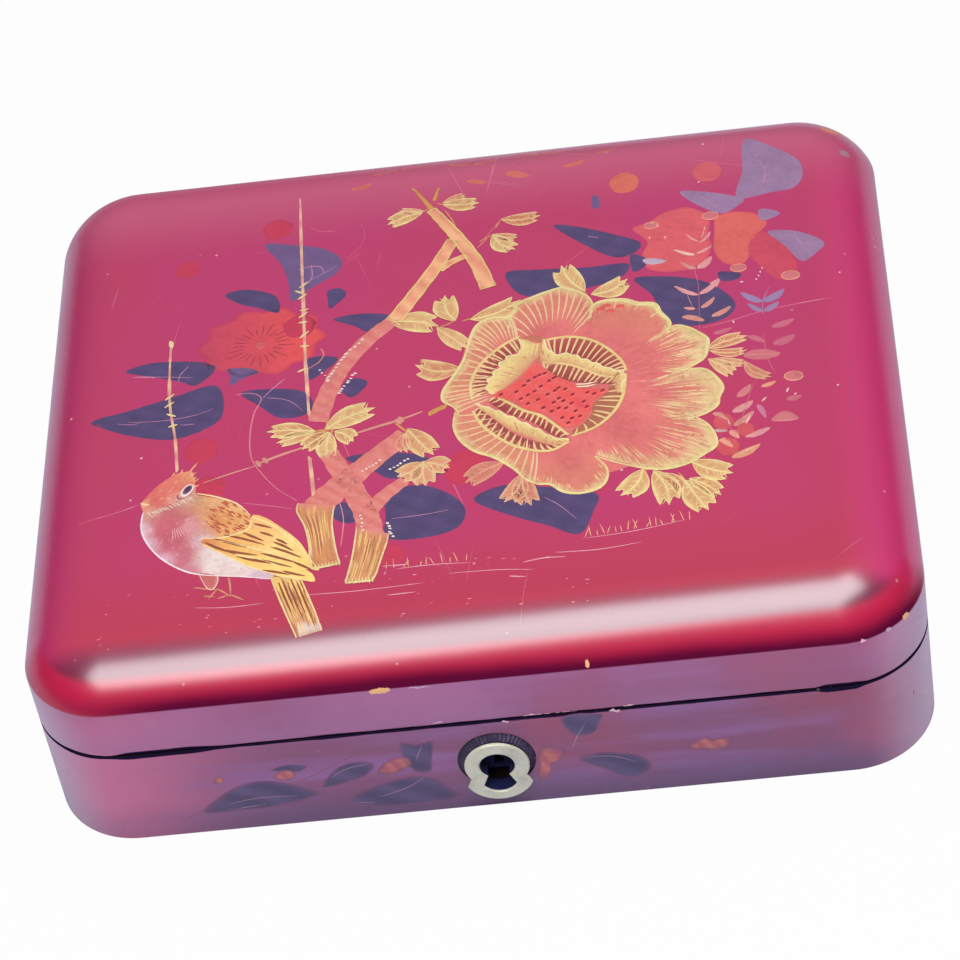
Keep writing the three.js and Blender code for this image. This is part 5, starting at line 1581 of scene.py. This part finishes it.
# Frills: the pale crest, then the line where the frill sinks towards the heart.
FRILLS = [
    ([(14.2, 7), (14.2, 2.6), (10.6, 0.8), (8.8, -2.4), (6.8, -5.6), (6.2, -8.8), (7.6, -10.6)], [(19.2, 5),
     (18.4, 0.6), (16.6, -1.8), (14.2, -5), (12.4, -7), (10.4, -8.8), (8.4, -10.8)]),
    ([(19.4, 6), (21.4, 1), (25.4, 0.2), (28.4, -1.8), (31.4, -3.8), (35, -6.2), (38, -7)], [(18.4, -1),
     (20.2, -2.8), (23.6, -2.6), (26.6, -4.2), (29.6, -6.4), (32.4, -8), (36, -9)]),
    ([(3.4, -13), (6.6, -15), (10, -17.4), (14, -20.6), (17.6, -23.4), (21, -26.4), (24.6, -27.4)],
     [(4.4, -15), (7.4, -18.2), (11.4, -22.6), (15, -25.4), (18.6, -27.8), (21.4, -28.8), (24.4, -28.4)]),
    ([(36.6, -6.8), (38, -9), (37.2, -11.4), (37, -14)], [(34.6, -8.8), (35.4, -10.4), (35.4, -12),
     (35.8, -14)]),
]


def matched(line, count):
    soft = smooth_line(line, 6)
    return [soft[round(k * (len(soft) - 1) / (count - 1))] for k in range(count)]


for outer, inner, ribs, browned in CURLED_PETALS:
    far = matched(outer, 31)
    near = matched(inner, 31)
    rows = [[between(a, b, r / 6) for a, b in zip(far, near)] for r in range(7)]

    def curl_tint(u, v, r, c, browned=browned):
        red = blend_tint(CURL, CURL_DARK, min(1.0, 1.5 * r))
        return blend_tint(red, CURL_BROWN, browned) + (0.1,)

    peony.sheet(rows, 0.11, curl_tint)
    for k in range(ribs):
        place = min(30, round(30 * (k + 0.5) / ribs))
        bent = max(0, place - 1)
        low = max(0, place - 2)
        line = [far[place], between(far[bent], near[bent], 0.5), between(far[low], near[low], 0.95)]
        peony.stroke(line, vary(0.38, 0.6), 0.16, CURL_RIB, start=1, end=0.25, steps=3)
    peony.stroke(far, 0.75, 0.18, FRILL + (0.6,), start=0.8, end=0.8, steps=1)


def frill_tint(u, v, r, c):
    return blend_tint(FRILL, FRILL_TAN, max(0.0, r - 0.3) * 1.3) + (0.6 - 0.4 * r,)


for crest, foot in FRILLS:
    upper = matched(crest, 37)
    lower = matched(foot, 37)
    rows = []
    for r in range(6):
        frilled = [0.5 * sin(k * 1.35) * (1 - r / 5) ** 2 / 6 for k in range(37)]
        rows.append([between(a, b, r / 5 - out) for a, b, out in zip(upper, lower, frilled)])
    peony.sheet(rows, 0.17, frill_tint)
    for k in range(44):
        place = brush.randrange(0, 37)
        begin = vary(0.15, 0.6)
        tint = blend_tint(FRILL, FRILL_SHADE, brush.random())
        finish = begin + vary(0.25, 0.5)
        line = [between(upper[place], lower[place], share) for share in (begin, finish)]
        peony.stroke(line, vary(0.2, 0.42), 0.21, tint + (0.3,), start=0.7, end=0.2, steps=2)
    peony.stroke(rows[0], 0.5, 0.22, (248, 230, 166, 0.7), start=0.8, end=0.8, steps=1)
CLEFT = [(14.8, 7.4), (17, 7.8), (19.2, 6.8), (19, 4.8), (17.4, 5.2), (16, 6.2)]
peony.patch(CLEFT, 0.2, (196, 112, 84), FRILL + (0.8,))
for u in (16.2, 17.2, 18.2):
    peony.stroke([(u, 4.8), (u - 0.3, 2.6), (u - 0.8, 0.8)], 0.5, 0.23, FRILL + (0.5,), start=0.7, end=0.2,
                 steps=2)

HEART = [
    (8, -10), (11, -9), (14, -6), (17, -2), (19, -3.4), (22, -6.6), (25, -8.8), (28, -11.4), (33, -12.2),
    (34, -13.4), (31, -15), (30, -18), (28.6, -21), (26, -23.6), (23, -23), (21, -20.4), (18.6, -18),
    (15, -16.6), (12.6, -13.4), (8, -11.8),
]
HEART_RED = (236, 80, 76)
DOT_RED = (140, 26, 42)
DOTS = [
    (9.4, -11), (12.8, -10.6), (14.6, -8.8), (15.8, -7.4), (17.2, -6.4), (18.4, -5.8), (19.4, -5.4),
    (20.4, -8), (21.6, -7.2), (18.6, -9.6), (17.2, -11), (15.4, -12), (13.8, -13), (15.6, -14.8),
    (18, -13.8), (20.2, -12.4), (21.6, -11.4), (22.8, -10.6), (24, -11.2), (21.4, -15.2), (22.6, -14),
    (23.6, -15), (25.8, -13.2), (19, -16.6), (21, -18), (24, -17.4), (25.6, -16), (26.4, -18.6),
    (28.2, -15.8), (28.8, -17.6), (29, -13), (30.6, -13.6), (32.4, -12.8), (23.4, -20.4), (25.6, -20.8),
    (22.6, -17.2), (24.4, -22.2), (27.4, -20.4),
]


def heart_wash(u, v):
    return blend_tint(HEART_RED, (228, 108, 96), 0.3 + 0.3 * sin(u + v))


peony.patch(HEART, 0.19, heart_wash, (232, 130, 90, 0.3), rings=(1.0, 0.94, 0.7, 0.4, 0.2))
for u, v in DOTS:
    u += vary(-0.2, 0.2)
    line = [(u - 0.55, v - 0.35), (u, v), (u + 0.55, v + 0.4)]
    peony.stroke(line, 1.0, 0.225, DOT_RED, start=0.7, end=0.5, steps=2)
    peony.stroke([(u - 0.5, v - 0.9), (u + 0.6, v - 0.5)], 0.25, 0.23, (246, 134, 124), start=0.6, end=0.4,
                 steps=2)
for v in (-10, -10.8):
    peony.stroke([(26.6, v), (29, v - 0.2), (31.6, v + 0.3)], 0.4, 0.24, (250, 236, 200), start=0.6,
                 end=0.2, steps=3)
peony.dry("lid", raised_paint)


# The bird stands below the left stake, looking back. Its body is a soft rosy white under fine
# feathers that the brush drew one by one, and the wing and the tail are gold with brown quills.

WING_GOLD = (246, 204, 112)
QUILL = (150, 76, 40)
BODY = [
    (-72.6, -35.6), (-72.9, -40), (-71.8, -44.2), (-69.2, -48.8), (-65.8, -52.6), (-61, -56),
    (-55.6, -57.6), (-49.4, -58.8), (-42.6, -60.4), (-42.4, -57), (-45, -50), (-47, -44), (-48.6, -39),
    (-52, -35.6), (-56.2, -33.4), (-60.4, -31.8), (-62, -30), (-67, -31.6),
]
# The soft colours of the body: where each lies, how far it spreads and what it is.
BODY_COLOURS = [
    (-72.2, -41, 2.0, (230, 208, 212)), (-70.4, -46, 2.0, (228, 204, 210)),
    (-66.6, -51, 1.8, (222, 190, 198)), (-60.6, -55.4, 1.8, (204, 124, 134)),
    (-67.4, -40, 3.6, (204, 98, 108)), (-66.4, -45, 3.4, (196, 90, 102)), (-63, -50, 3.0, (202, 106, 116)),
    (-70.4, -37, 2.0, (212, 158, 136)), (-63.4, -38, 2.6, (200, 112, 108)),
    (-60.6, -42.4, 2.4, (214, 150, 142)), (-59, -46.6, 2.2, (226, 190, 190)),
    (-56.4, -52, 3.4, (234, 216, 206)), (-50.4, -56, 3.0, (234, 214, 204)),
    (-45, -59, 2.0, (212, 180, 190)), (-62.4, -34.4, 2.2, (210, 160, 132)),
    (-58.4, -36.4, 2.8, (218, 158, 104)), (-54, -40.4, 3.6, (222, 148, 86)),
    (-50.4, -43, 2.6, (236, 180, 100)), (-51.6, -37.4, 2.0, (236, 186, 118)),
    (-56, -34.8, 1.6, (232, 176, 124)),
]
HEAD = [
    (-73.2, -32.7), (-71.8, -30.2), (-69.2, -27.2), (-65.8, -24.7), (-63.6, -24.3), (-62, -24.2),
    (-61.3, -26), (-60.9, -28.5), (-60.7, -31), (-61.6, -33.2), (-65, -33.2), (-68.6, -34.8),
    (-71.9, -36.4), (-72.9, -34.5),
]
HEAD_COLOURS = [
    (-70, -32, 3.4, (216, 106, 92)), (-66, -28, 3.6, (222, 118, 96)), (-63, -25.6, 1.8, (232, 158, 112)),
    (-66, -32.6, 1.6, (226, 164, 140)), (-71, -35.4, 1.4, (226, 176, 150)),
    (-62.4, -32.6, 1.6, (206, 160, 140)), (-72.6, -33, 0.9, (244, 206, 150)),
]
WING = [
    (-58.9, -47.6), (-58.4, -46), (-55, -46), (-50, -45.8), (-48, -42), (-47, -40.4), (-44, -42),
    (-40, -46), (-36.6, -50), (-34.6, -54), (-33, -57), (-31.9, -59.3), (-34.8, -58.6), (-33.4, -60.2),
    (-32.9, -62.5), (-36.5, -61.4), (-41.5, -59.5), (-47, -56.6), (-52, -53), (-56, -50),
]
WING_COLOURS = [
    (-57, -47.6, 2.6, (222, 140, 80)), (-52, -49, 3.6, (240, 180, 96)), (-48, -53, 3.4, (248, 200, 108)),
    (-44, -46, 3.4, (244, 190, 112)), (-40, -51, 4, (252, 218, 128)), (-38, -57, 3.6, (252, 212, 118)),
]
TAIL_LEFT = [(-42.8, -59.6), (-41, -65.6), (-38.8, -72), (-36.9, -77)]
TAIL_RIGHT = [(-36.2, -60.6), (-34.4, -66), (-32.6, -71.6), (-31.3, -76)]
QUILLS = [
    [(-58, -47.2), (-55, -49.4), (-50.6, -52)], [(-56.4, -46.2), (-52, -48.4), (-47.4, -50.6)],
    [(-53.6, -45.6), (-49, -47.6), (-44.4, -50)], [(-49.6, -45.4), (-47, -47.2), (-44.6, -48.8)],
    [(-47, -43.2), (-44.8, -44.2), (-42.8, -45.2)], [(-45.6, -46), (-44, -46.8), (-42.4, -47.8)],
    [(-54, -50), (-50, -51.6), (-45.8, -53)], [(-50.6, -52.6), (-46.6, -54.4), (-42, -56)],
    [(-47.4, -53.6), (-43, -55.4), (-38, -57.6)], [(-45.2, -52.4), (-41.4, -54.2), (-37, -56.4)],
    [(-43, -50.8), (-39.4, -52.8), (-36, -55)], [(-42.4, -49.4), (-40, -51), (-37.8, -52.8)],
    [(-41.8, -48.6), (-40.4, -49.6), (-39.2, -50.6)], [(-37.8, -56), (-35.8, -57.4), (-33.6, -58.9)],
    [(-40, -58.4), (-37.6, -59.6), (-35, -60.6)], [(-44.6, -57.6), (-41.4, -58.6), (-38.4, -59.8)],
]
bird = Paint("lid_bird", on_lid)


def in_outline(outline, u, v):
    inside = False
    for (u0, v0), (u1, v1) in zip(outline, outline[1:] + outline[:1]):
        if (v0 > v) != (v1 > v) and u < u0 + (v - v0) / (v1 - v0) * (u1 - u0):
            inside = not inside
    return inside


def softly(colours):
    """One colour that flows between the named places."""
    def tint(u, v):
        shares = [exp(-((u - a) ** 2 + (v - b) ** 2) / spread ** 2) + 1e-7 for a, b, spread, _ in colours]
        whole = sum(shares)
        return tuple(sum(s * c[3][n] for s, c in zip(shares, colours)) / whole for n in range(3))
    return tint


def tail_tint(u, v, r, c):
    return blend_tint(WING_GOLD, (196, 122, 84), max(0.0, r - 0.35) * 1.4) + (0.4,)


MANY_RINGS = (1.0, 0.95, 0.87, 0.78, 0.69, 0.6, 0.5, 0.4, 0.3, 0.2, 0.1)
left_line = smooth_line(TAIL_LEFT, 5)
right_line = smooth_line(TAIL_RIGHT, 5)
rows = [[between(a, b, c / 8) for c in range(9)] for a, b in zip(left_line, right_line)]
bird.sheet(rows, 0.09, tail_tint)
for k in range(70):
    share = vary(0.04, 0.96)
    begin = brush.randrange(0, 12)
    finish = min(15, begin + brush.randrange(2, 6))
    line = [between(left_line[n], right_line[n], share) for n in range(begin, finish + 1)]
    tint = blend_tint((170, 92, 60), (252, 222, 146), brush.random() ** (0.5 + begin / 9))
    bird.stroke(line, vary(0.2, 0.4), 0.13, tint + (0.3,), start=0.4, end=0.1, steps=1)
for share, begin, finish in ((0.2, 2, 11), (0.36, 1, 10), (0.5, 2, 13), (0.66, 1, 12), (0.82, 2, 14)):
    quill = [between(left_line[n], right_line[n], share) for n in range(begin, finish)]
    bird.stroke(quill, 0.55, 0.15, QUILL, start=0.5, end=0.1, steps=1)
for line in (left_line, right_line):
    bird.stroke(line, 0.4, 0.15, (250, 220, 150, 0.5), start=0.8, end=0.6, steps=1)
for k in range(22):
    u = -36.6 + k * 0.24
    tint = blend_tint((238, 206, 160), (206, 190, 190), brush.random())
    frayed = [(u, -74.6 + vary(0, 1.4)), (u + 0.3, -77 + k * 0.05)]
    bird.stroke(frayed, 0.3, 0.16, tint, start=0.5, end=0.3, steps=2)

bird.patch(BODY, 0.07, softly(BODY_COLOURS), rings=MANY_RINGS, steps=5)
bird.patch(WING, 0.11, softly(WING_COLOURS), rings=MANY_RINGS, steps=4)
bird.patch(HEAD, 0.12, softly(HEAD_COLOURS), rings=MANY_RINGS, steps=5)
for quill in QUILLS:
    bird.stroke(quill, 0.66, 0.16, QUILL, start=0.35, end=0.3, steps=3)
WING_LINES = [
    [(-59, -47.4), (-54, -51.2), (-48, -55.8), (-42, -59.2)],
    [(-47.6, -41), (-43, -44), (-38, -49.6), (-32, -59)],
    [(-47.6, -42), (-48.4, -44.8), (-54, -46.4), (-59, -45.8)],
    [(-41.8, -59.4), (-37.4, -61), (-33, -62.4)], [(-55, -47), (-49.4, -49.6), (-44, -52), (-38, -55.4)],
    [(-51, -52), (-46, -54), (-41, -56.6)],
]
for line in WING_LINES:
    bird.stroke(line, 0.42, 0.165, (254, 230, 160, 0.5), start=0.7, end=0.4, steps=4)
BACK_LINE = [(-60.6, -31.6), (-56, -33.4), (-51, -36.4), (-47.8, -40.6)]
bird.stroke(BACK_LINE, 0.45, 0.15, (248, 214, 160), start=0.7, end=0.5)
SHOULDER_TINTS = [(188, 84, 52), (200, 96, 60), (236, 184, 110)]
FEATHER_TINTS = [(244, 230, 234), (242, 214, 180), (190, 96, 110)]
HEAD_TINTS = [(236, 158, 116), (202, 92, 80), (240, 190, 150)]
for k in range(120):
    u = vary(-58.6, -48.2)
    v = vary(-44.6, -35)
    if in_outline(BODY, u, v) and hypot(u + 52.8, v + 39.8) < 5.4:
        tint = brush.choice(SHOULDER_TINTS)
        bird.stroke([(u, v), (u + 1.1, v - 1.0)], 0.42, 0.14, tint, start=0.5, end=0.3, steps=2)
for k in range(330):
    u = vary(-73, -43)
    v = vary(-60, -33)
    if in_outline(BODY, u, v) and not in_outline(WING, u, v):
        turn = atan2(v + 36, u + 68) + vary(-0.3, 0.3)
        reach = vary(0.9, 2.2)
        tip = (u + reach * cos(turn), v + reach * sin(turn))
        if in_outline(BODY, *tip):
            own = softly(BODY_COLOURS)(u, v)
            pale = blend_tint(own, brush.choice(FEATHER_TINTS), vary(0.15, 0.5))
            bird.stroke([(u, v), tip], vary(0.18, 0.32), 0.115, pale, start=0.6, end=0.1, steps=2)
for k in range(13):
    turn = radians(-88 + k * 7.2)
    near = (-65.6 + 2.8 * cos(turn), -39.0 + 2.8 * sin(turn))
    far = (-65.6 + 6.0 * cos(turn), -39.0 + 6.6 * sin(turn))
    bird.stroke([near, far], 0.2, 0.13, (232, 176, 178), start=0.3, end=0.1, steps=3)
for k in range(90):
    u = vary(-73, -60.6)
    v = vary(-36, -24)
    if in_outline(HEAD, u, v):
        tint = brush.choice(HEAD_TINTS)
        bird.stroke([(u, v), (u + 1.1, v + 0.7)], 0.24, 0.16, tint, start=0.5, end=0.1, steps=2)
for k in range(30):
    share = k / 29
    u = -71.6 + 10 * share
    v = -36.2 + 3.4 * share + vary(-0.5, 0.6)
    bird.stroke([(u, v), (u + 0.9, v - 1.1)], 0.26, 0.17, (236, 206, 178), start=0.6, end=0.1, steps=2)
bird.stroke(smooth_line(BODY[:9], 2), 0.42, 0.13, (246, 226, 230), start=0.7, end=0.5, steps=2)
CREST = [
    [(-62.4, -24.6), (-61.4, -23), (-60.6, -21.8)], [(-62, -26), (-60.8, -24.8)],
    [(-61.4, -28), (-60, -27)], [(-64.4, -24.8), (-64, -23.4)], [(-66.4, -25.2), (-65.8, -24)],
    [(-61.2, -29.6), (-59.9, -29)],
]
for crest in CREST:
    bird.stroke(crest, 0.5, 0.16, (236, 162, 108), start=0.9, end=0.1)
bird.stroke([(-73.4, -32.6), (-72.2, -33.2), (-71.2, -33.4)], 0.6, 0.18, (248, 214, 156), start=0.5,
            end=0.1, steps=3)


def tilted_oval(middle, long_reach, short_reach, turn, count=12):
    oval = []
    for k in range(count):
        along = long_reach * cos(2 * pi * k / count)
        across = short_reach * sin(2 * pi * k / count)
        oval.append((
            middle[0] + along * cos(turn) - across * sin(turn),
            middle[1] + along * sin(turn) + across * cos(turn),
        ))
    return oval


EYE = (-62.7, -30.3)
EYE_TURN = radians(56)
bird.patch(tilted_oval(EYE, 2.1, 1.25, EYE_TURN), 0.18, (240, 214, 202))
bird.patch(tilted_oval((EYE[0] + 0.1, EYE[1] + 0.1), 1.55, 0.82, EYE_TURN), 0.22, (112, 78, 106))
bird.patch(tilted_oval((EYE[0] + 0.15, EYE[1] + 0.2), 0.95, 0.45, EYE_TURN), 0.25, (66, 40, 70))
bird.stroke([(-64.9, -31.4), (-64.6, -32.6), (-63.2, -32.9)], 0.4, 0.2, (116, 82, 112), start=0.3, end=0.2,
            steps=3)
LEGS = [
    [(-55, -57.6), (-55, -59.4), (-55.6, -60.8)], [(-60, -60.6), (-57, -61.4), (-54.6, -62)],
    [(-54.8, -61.6), (-53, -63), (-51.4, -64.6)], [(-54.8, -62), (-56.6, -64.4)],
    [(-57.6, -63.4), (-55, -64)], [(-52.2, -58.6), (-51.8, -61), (-51.6, -64)],
    [(-51.8, -63.8), (-54.6, -64.6)], [(-51.6, -63.8), (-48.6, -65.8)],
]
for leg in LEGS:
    bird.stroke(leg, 0.45, 0.12, (214, 140, 108), start=0.7, end=0.2, steps=3)
THIGH = [(-59, -56.4), (-54.8, -57.6), (-54.6, -59.4), (-55.4, -61.4), (-56.4, -61.6), (-57.6, -60)]
bird.patch(THIGH, 0.09, (200, 104, 98), (236, 200, 190, 0.9))
bird.stroke(smooth_line(THIGH[1:] + THIGH[:1], 2), 0.3, 0.13, (240, 212, 190), start=0.6, end=0.4, steps=2)
bird.dry("lid", raised_paint)


# The front wall carries a fallen spray of the same plant, indigo leaves and coral blossoms washed
# thinly over the mauve lacquer and half worn into it, so that their edges are soft.

WALL_INDIGO = (66, 52, 100)
WALL_SLATE = (94, 74, 124)
WALL_EDGE = (134, 70, 114, 0.9)
WALL_LEAVES = [
    [(-65.5, 6.4), (-61.6, 11), (-56, 14.6), (-50, 15.6), (-43.6, 13.4), (-38, 9.6), (-41, 8), (-48, 6.4),
     (-57, 6)],
    [(-37.4, 11), (-36, 14.4), (-33, 17.6), (-28.4, 18.9), (-24.8, 17.4), (-27, 14), (-31, 12.4)],
    [(-33.4, 5.8), (-27, 9.8), (-21, 11.6), (-17.4, 12.2), (-14, 11.8), (-11, 9.8), (-9, 7), (-6.8, 3.8),
     (-13, 2.4), (-19.6, 2.4), (-27.6, 3)],
    [(-17.8, 16.4), (-18.4, 23.6), (-14.6, 22.6), (-11, 23.4), (-11.8, 17.6), (-12.6, 13.4), (-15.4, 13)],
    [(18, 27), (26.8, 27), (26, 23.6), (24.6, 20.8), (20, 20.6)],
    [(20, 12.5), (25, 14.2), (29.4, 13.4), (33.4, 12.2), (36.2, 8.8), (34, 5), (30, 4.8), (25.6, 8.4)],
    [(-48, 18.6), (-44, 20), (-39.6, 19), (-42, 17.4)],
]
WALL_VEINS = [
    [(-60, 8.5), (-52, 9.8), (-42, 9.2)], [(-35.4, 14), (-31, 16.8), (-25.4, 17.8)],
    [(-26, 6), (-18.6, 8.6), (-14.2, 11.6)], [(-15.6, 17), (-14.4, 20), (-13.4, 22)],
    [(19.4, 16.8), (21, 20.6), (23.2, 24.4)], [(21, 13), (28, 12.4), (33.4, 9.4)], [(-58, 6.8), (-50, 7.6)],
    [(-31, 5), (-26, 4.6)],
]
CORAL_CLOUDS = [
    [(11.4, 14.6), (12.4, 17.4), (15.2, 18), (17.8, 16), (16.8, 13.4), (14.4, 12), (13.6, 9), (11.6, 6.4),
     (10.4, 7.8), (11, 10), (11.4, 12.4)],
    [(-24.8, 14.4), (-23, 17), (-20.4, 18.8), (-17.4, 18.8), (-16.6, 16.2), (-19, 14.6), (-22, 13.2)],
    [(44.4, 13.2), (46.4, 15), (48.4, 15.8), (50.2, 14.6), (53.6, 15), (54.2, 12.4), (51.6, 11.2),
     (48.6, 11.8), (46, 12)],
    [(-47.6, 16), (-46, 18.2), (-43.4, 18), (-42.8, 15.8), (-45, 14.6)],
    [(-61.4, 16.6), (-60, 18.2), (-58.6, 17), (-60, 15.6)],
]
wall_painting = Paint("front_painting", on_front)


def slate_wash(u, v):
    return blend_tint(WALL_INDIGO, WALL_SLATE, wave(u * 0.5 + v * 0.8))


def bud_wash(u, v):
    return blend_tint((216, 120, 110), (184, 88, 108), wave(u * 2 + v))


for outline in WALL_LEAVES:
    wall_painting.patch(outline, 0.012, slate_wash, WALL_EDGE, rings=(1.0, 0.97, 0.78, 0.5, 0.25), soft=1)
for vein in WALL_VEINS:
    wall_painting.stroke(vein, 0.5, VEIN_COAT, (168, 128, 150), start=0.3, end=0.3)
for outline in CORAL_CLOUDS:
    wall_painting.patch(outline, GROUND_COAT, bud_wash, WALL_EDGE, rings=(1.0, 0.97, 0.6, 0.4, 0.2), soft=1)
WALL_STEMS = [
    [(-46, 12.6), (-38, 16), (-30, 20.4), (-20, 23)],
    [(10, 14), (18, 17.8), (28, 18.6), (40, 15), (49, 13.6)], [(-66, 6.4), (-72, 4.6)],
    [(28, 12.6), (38, 13.4)],
]
for stem in WALL_STEMS:
    wall_painting.stroke(stem, 0.5, GROUND_COAT, (150, 78, 100), start=0.5, end=0.3, steps=5)
wall_painting.dry("base", flat_paint)


# The metalwork is brass for the lock, its link plate, the hinges and all screws, browned steel for
# what slides or turns, and pale nickel for the keyhole plate on its dark fluted collar. It is
# brushed, and has dulled in clouds. Inside the keyhole it is painted dark as shade.

def metal_age_group():
    """Tarnish in broad clouds, a few pits and the lines of the brush, as masks over the metal."""
    group, amount, made = mask_group("metal_age", ("Tarnish", "Pits", "Brushing"), "Amount", 0.5)
    place = coordinates(group)
    tarnish = plus(group, grain(group, place, 190, 4, 0.6), minus(group, amount, 0.5))
    group.links.new(fade(group, tarnish, 0.36, 0.66), made["Tarnish"])
    cells = add_node(group, "TexVoronoi", {"Vector": place, "Scale": 1900})
    pits = fade(group, cells.outputs["Distance"], 0.22, 0.10)
    some = fade(group, grain(group, place, 420, 2), 0.52, 0.62)
    group.links.new(times(group, pits, some), made["Pits"])
    group.links.new(grain(group, coordinates(group, (220, 4200, 4200)), 1.0, 2), made["Brushing"])
    return group


metal_age = metal_age_group()
# Painted shade darkens what lies deep in the keyhole: the middle and reach of the hole, and how far back it
# starts.
HOLE_MIDDLE_Z = 12.9 * MM
HOLE_REACH = (5.4 * MM, 8.2 * MM)
HOLE_PAINTED_SHADE = (5, 12, 66)
BEHIND_PLATE = (-77.8 * MM, -78.0 * MM)
PLATE_LIP = (-87.22 * MM, -87.04 * MM)
PIT_DARK = (20, 16, 24)


def aged_metal(name, clean, dull, metallic, roughness, amount=0.5, pit=PIT_DARK, painted_hole_shade=None):
    material, tree, surface = new_material(name)
    age = add_node(tree, "Group", {"Amount": amount}, node_tree=metal_age).outputs
    colour = mix(tree, age["Tarnish"], srgb(*clean), srgb(*dull))
    colour = coat_over(tree, times(tree, age["Pits"], 0.8), colour, pit)
    rough = plus(tree, times(tree, age["Tarnish"], 0.22), roughness)
    if painted_hole_shade:
        # Painted shade: within the keyhole's outline and behind the given depth the metal is painted dark,
        # rougher and not metallic.
        place = add_node(tree, "SeparateXYZ", {0: add_node(tree, "TexCoord").outputs["Object"]}).outputs
        across = maths(tree, "DIVIDE", minus(tree, place["X"], KEYHOLE_X), HOLE_REACH[0])
        up = maths(tree, "DIVIDE", minus(tree, place["Z"], HOLE_MIDDLE_Z), HOLE_REACH[1])
        reach = plus(tree, times(tree, across, across), times(tree, up, up))
        shaded = times(tree, fade(tree, reach, 1.15, 0.95), fade(tree, place["Y"], *painted_hole_shade))
        colour = coat_over(tree, shaded, colour, HOLE_PAINTED_SHADE)
        rough = plus(tree, rough, times(tree, shaded, 0.5))
        metallic = fade(tree, shaded, 0.0, 1.0, metallic, 0.0)
    tree.links.new(colour, surface.inputs["Base Color"])
    join(tree, metallic, surface.inputs["Metallic"])
    tree.links.new(rough, surface.inputs["Roughness"])
    bump(tree, surface, minus(tree, times(tree, age["Brushing"], 0.4), age["Pits"]), 0.35, 0.04 * MM)
    return material


brass = aged_metal("aged_brass", (190, 152, 88), (112, 80, 48), 0.95, 0.28)
# The lock's brass and steel are copies with painted shade where they lie behind the keyhole.
brass_with_hole_shade = aged_metal("brass_with_hole_shade", (182, 146, 86), (104, 74, 46), 0.9, 0.3, painted_hole_shade=BEHIND_PLATE)
browned_steel = aged_metal("browned_steel", (120, 112, 104), (62, 50, 44), 0.85, 0.36)
lock_steel = aged_metal("lock_steel", (120, 112, 104), (62, 50, 44), 0.85, 0.36, painted_hole_shade=BEHIND_PLATE)
nickel = aged_metal("pale_nickel", (216, 218, 194), (196, 196, 176), 0.2, 0.42, 0.42, pit=(150, 150, 150),
                    painted_hole_shade=PLATE_LIP)
patina = aged_metal("dark_patina", (74, 62, 92), (48, 38, 62), 0.4, 0.5)
METALWORK = {
    "escutcheon_plate": nickel, "escutcheon_collar": patina, "lock_plate": brass_with_hole_shade,
    "lock_cap": brass_with_hole_shade,
    "lock_bolt": lock_steel, "bolt_spring": lock_steel, "link_plate": brass,
}
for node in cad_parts:
    if node in METALWORK:
        dress(node, METALWORK[node])
    elif "pin" in node:
        dress(node, browned_steel)
    elif "screw" in node or "leaf" in node:
        dress(node, brass)
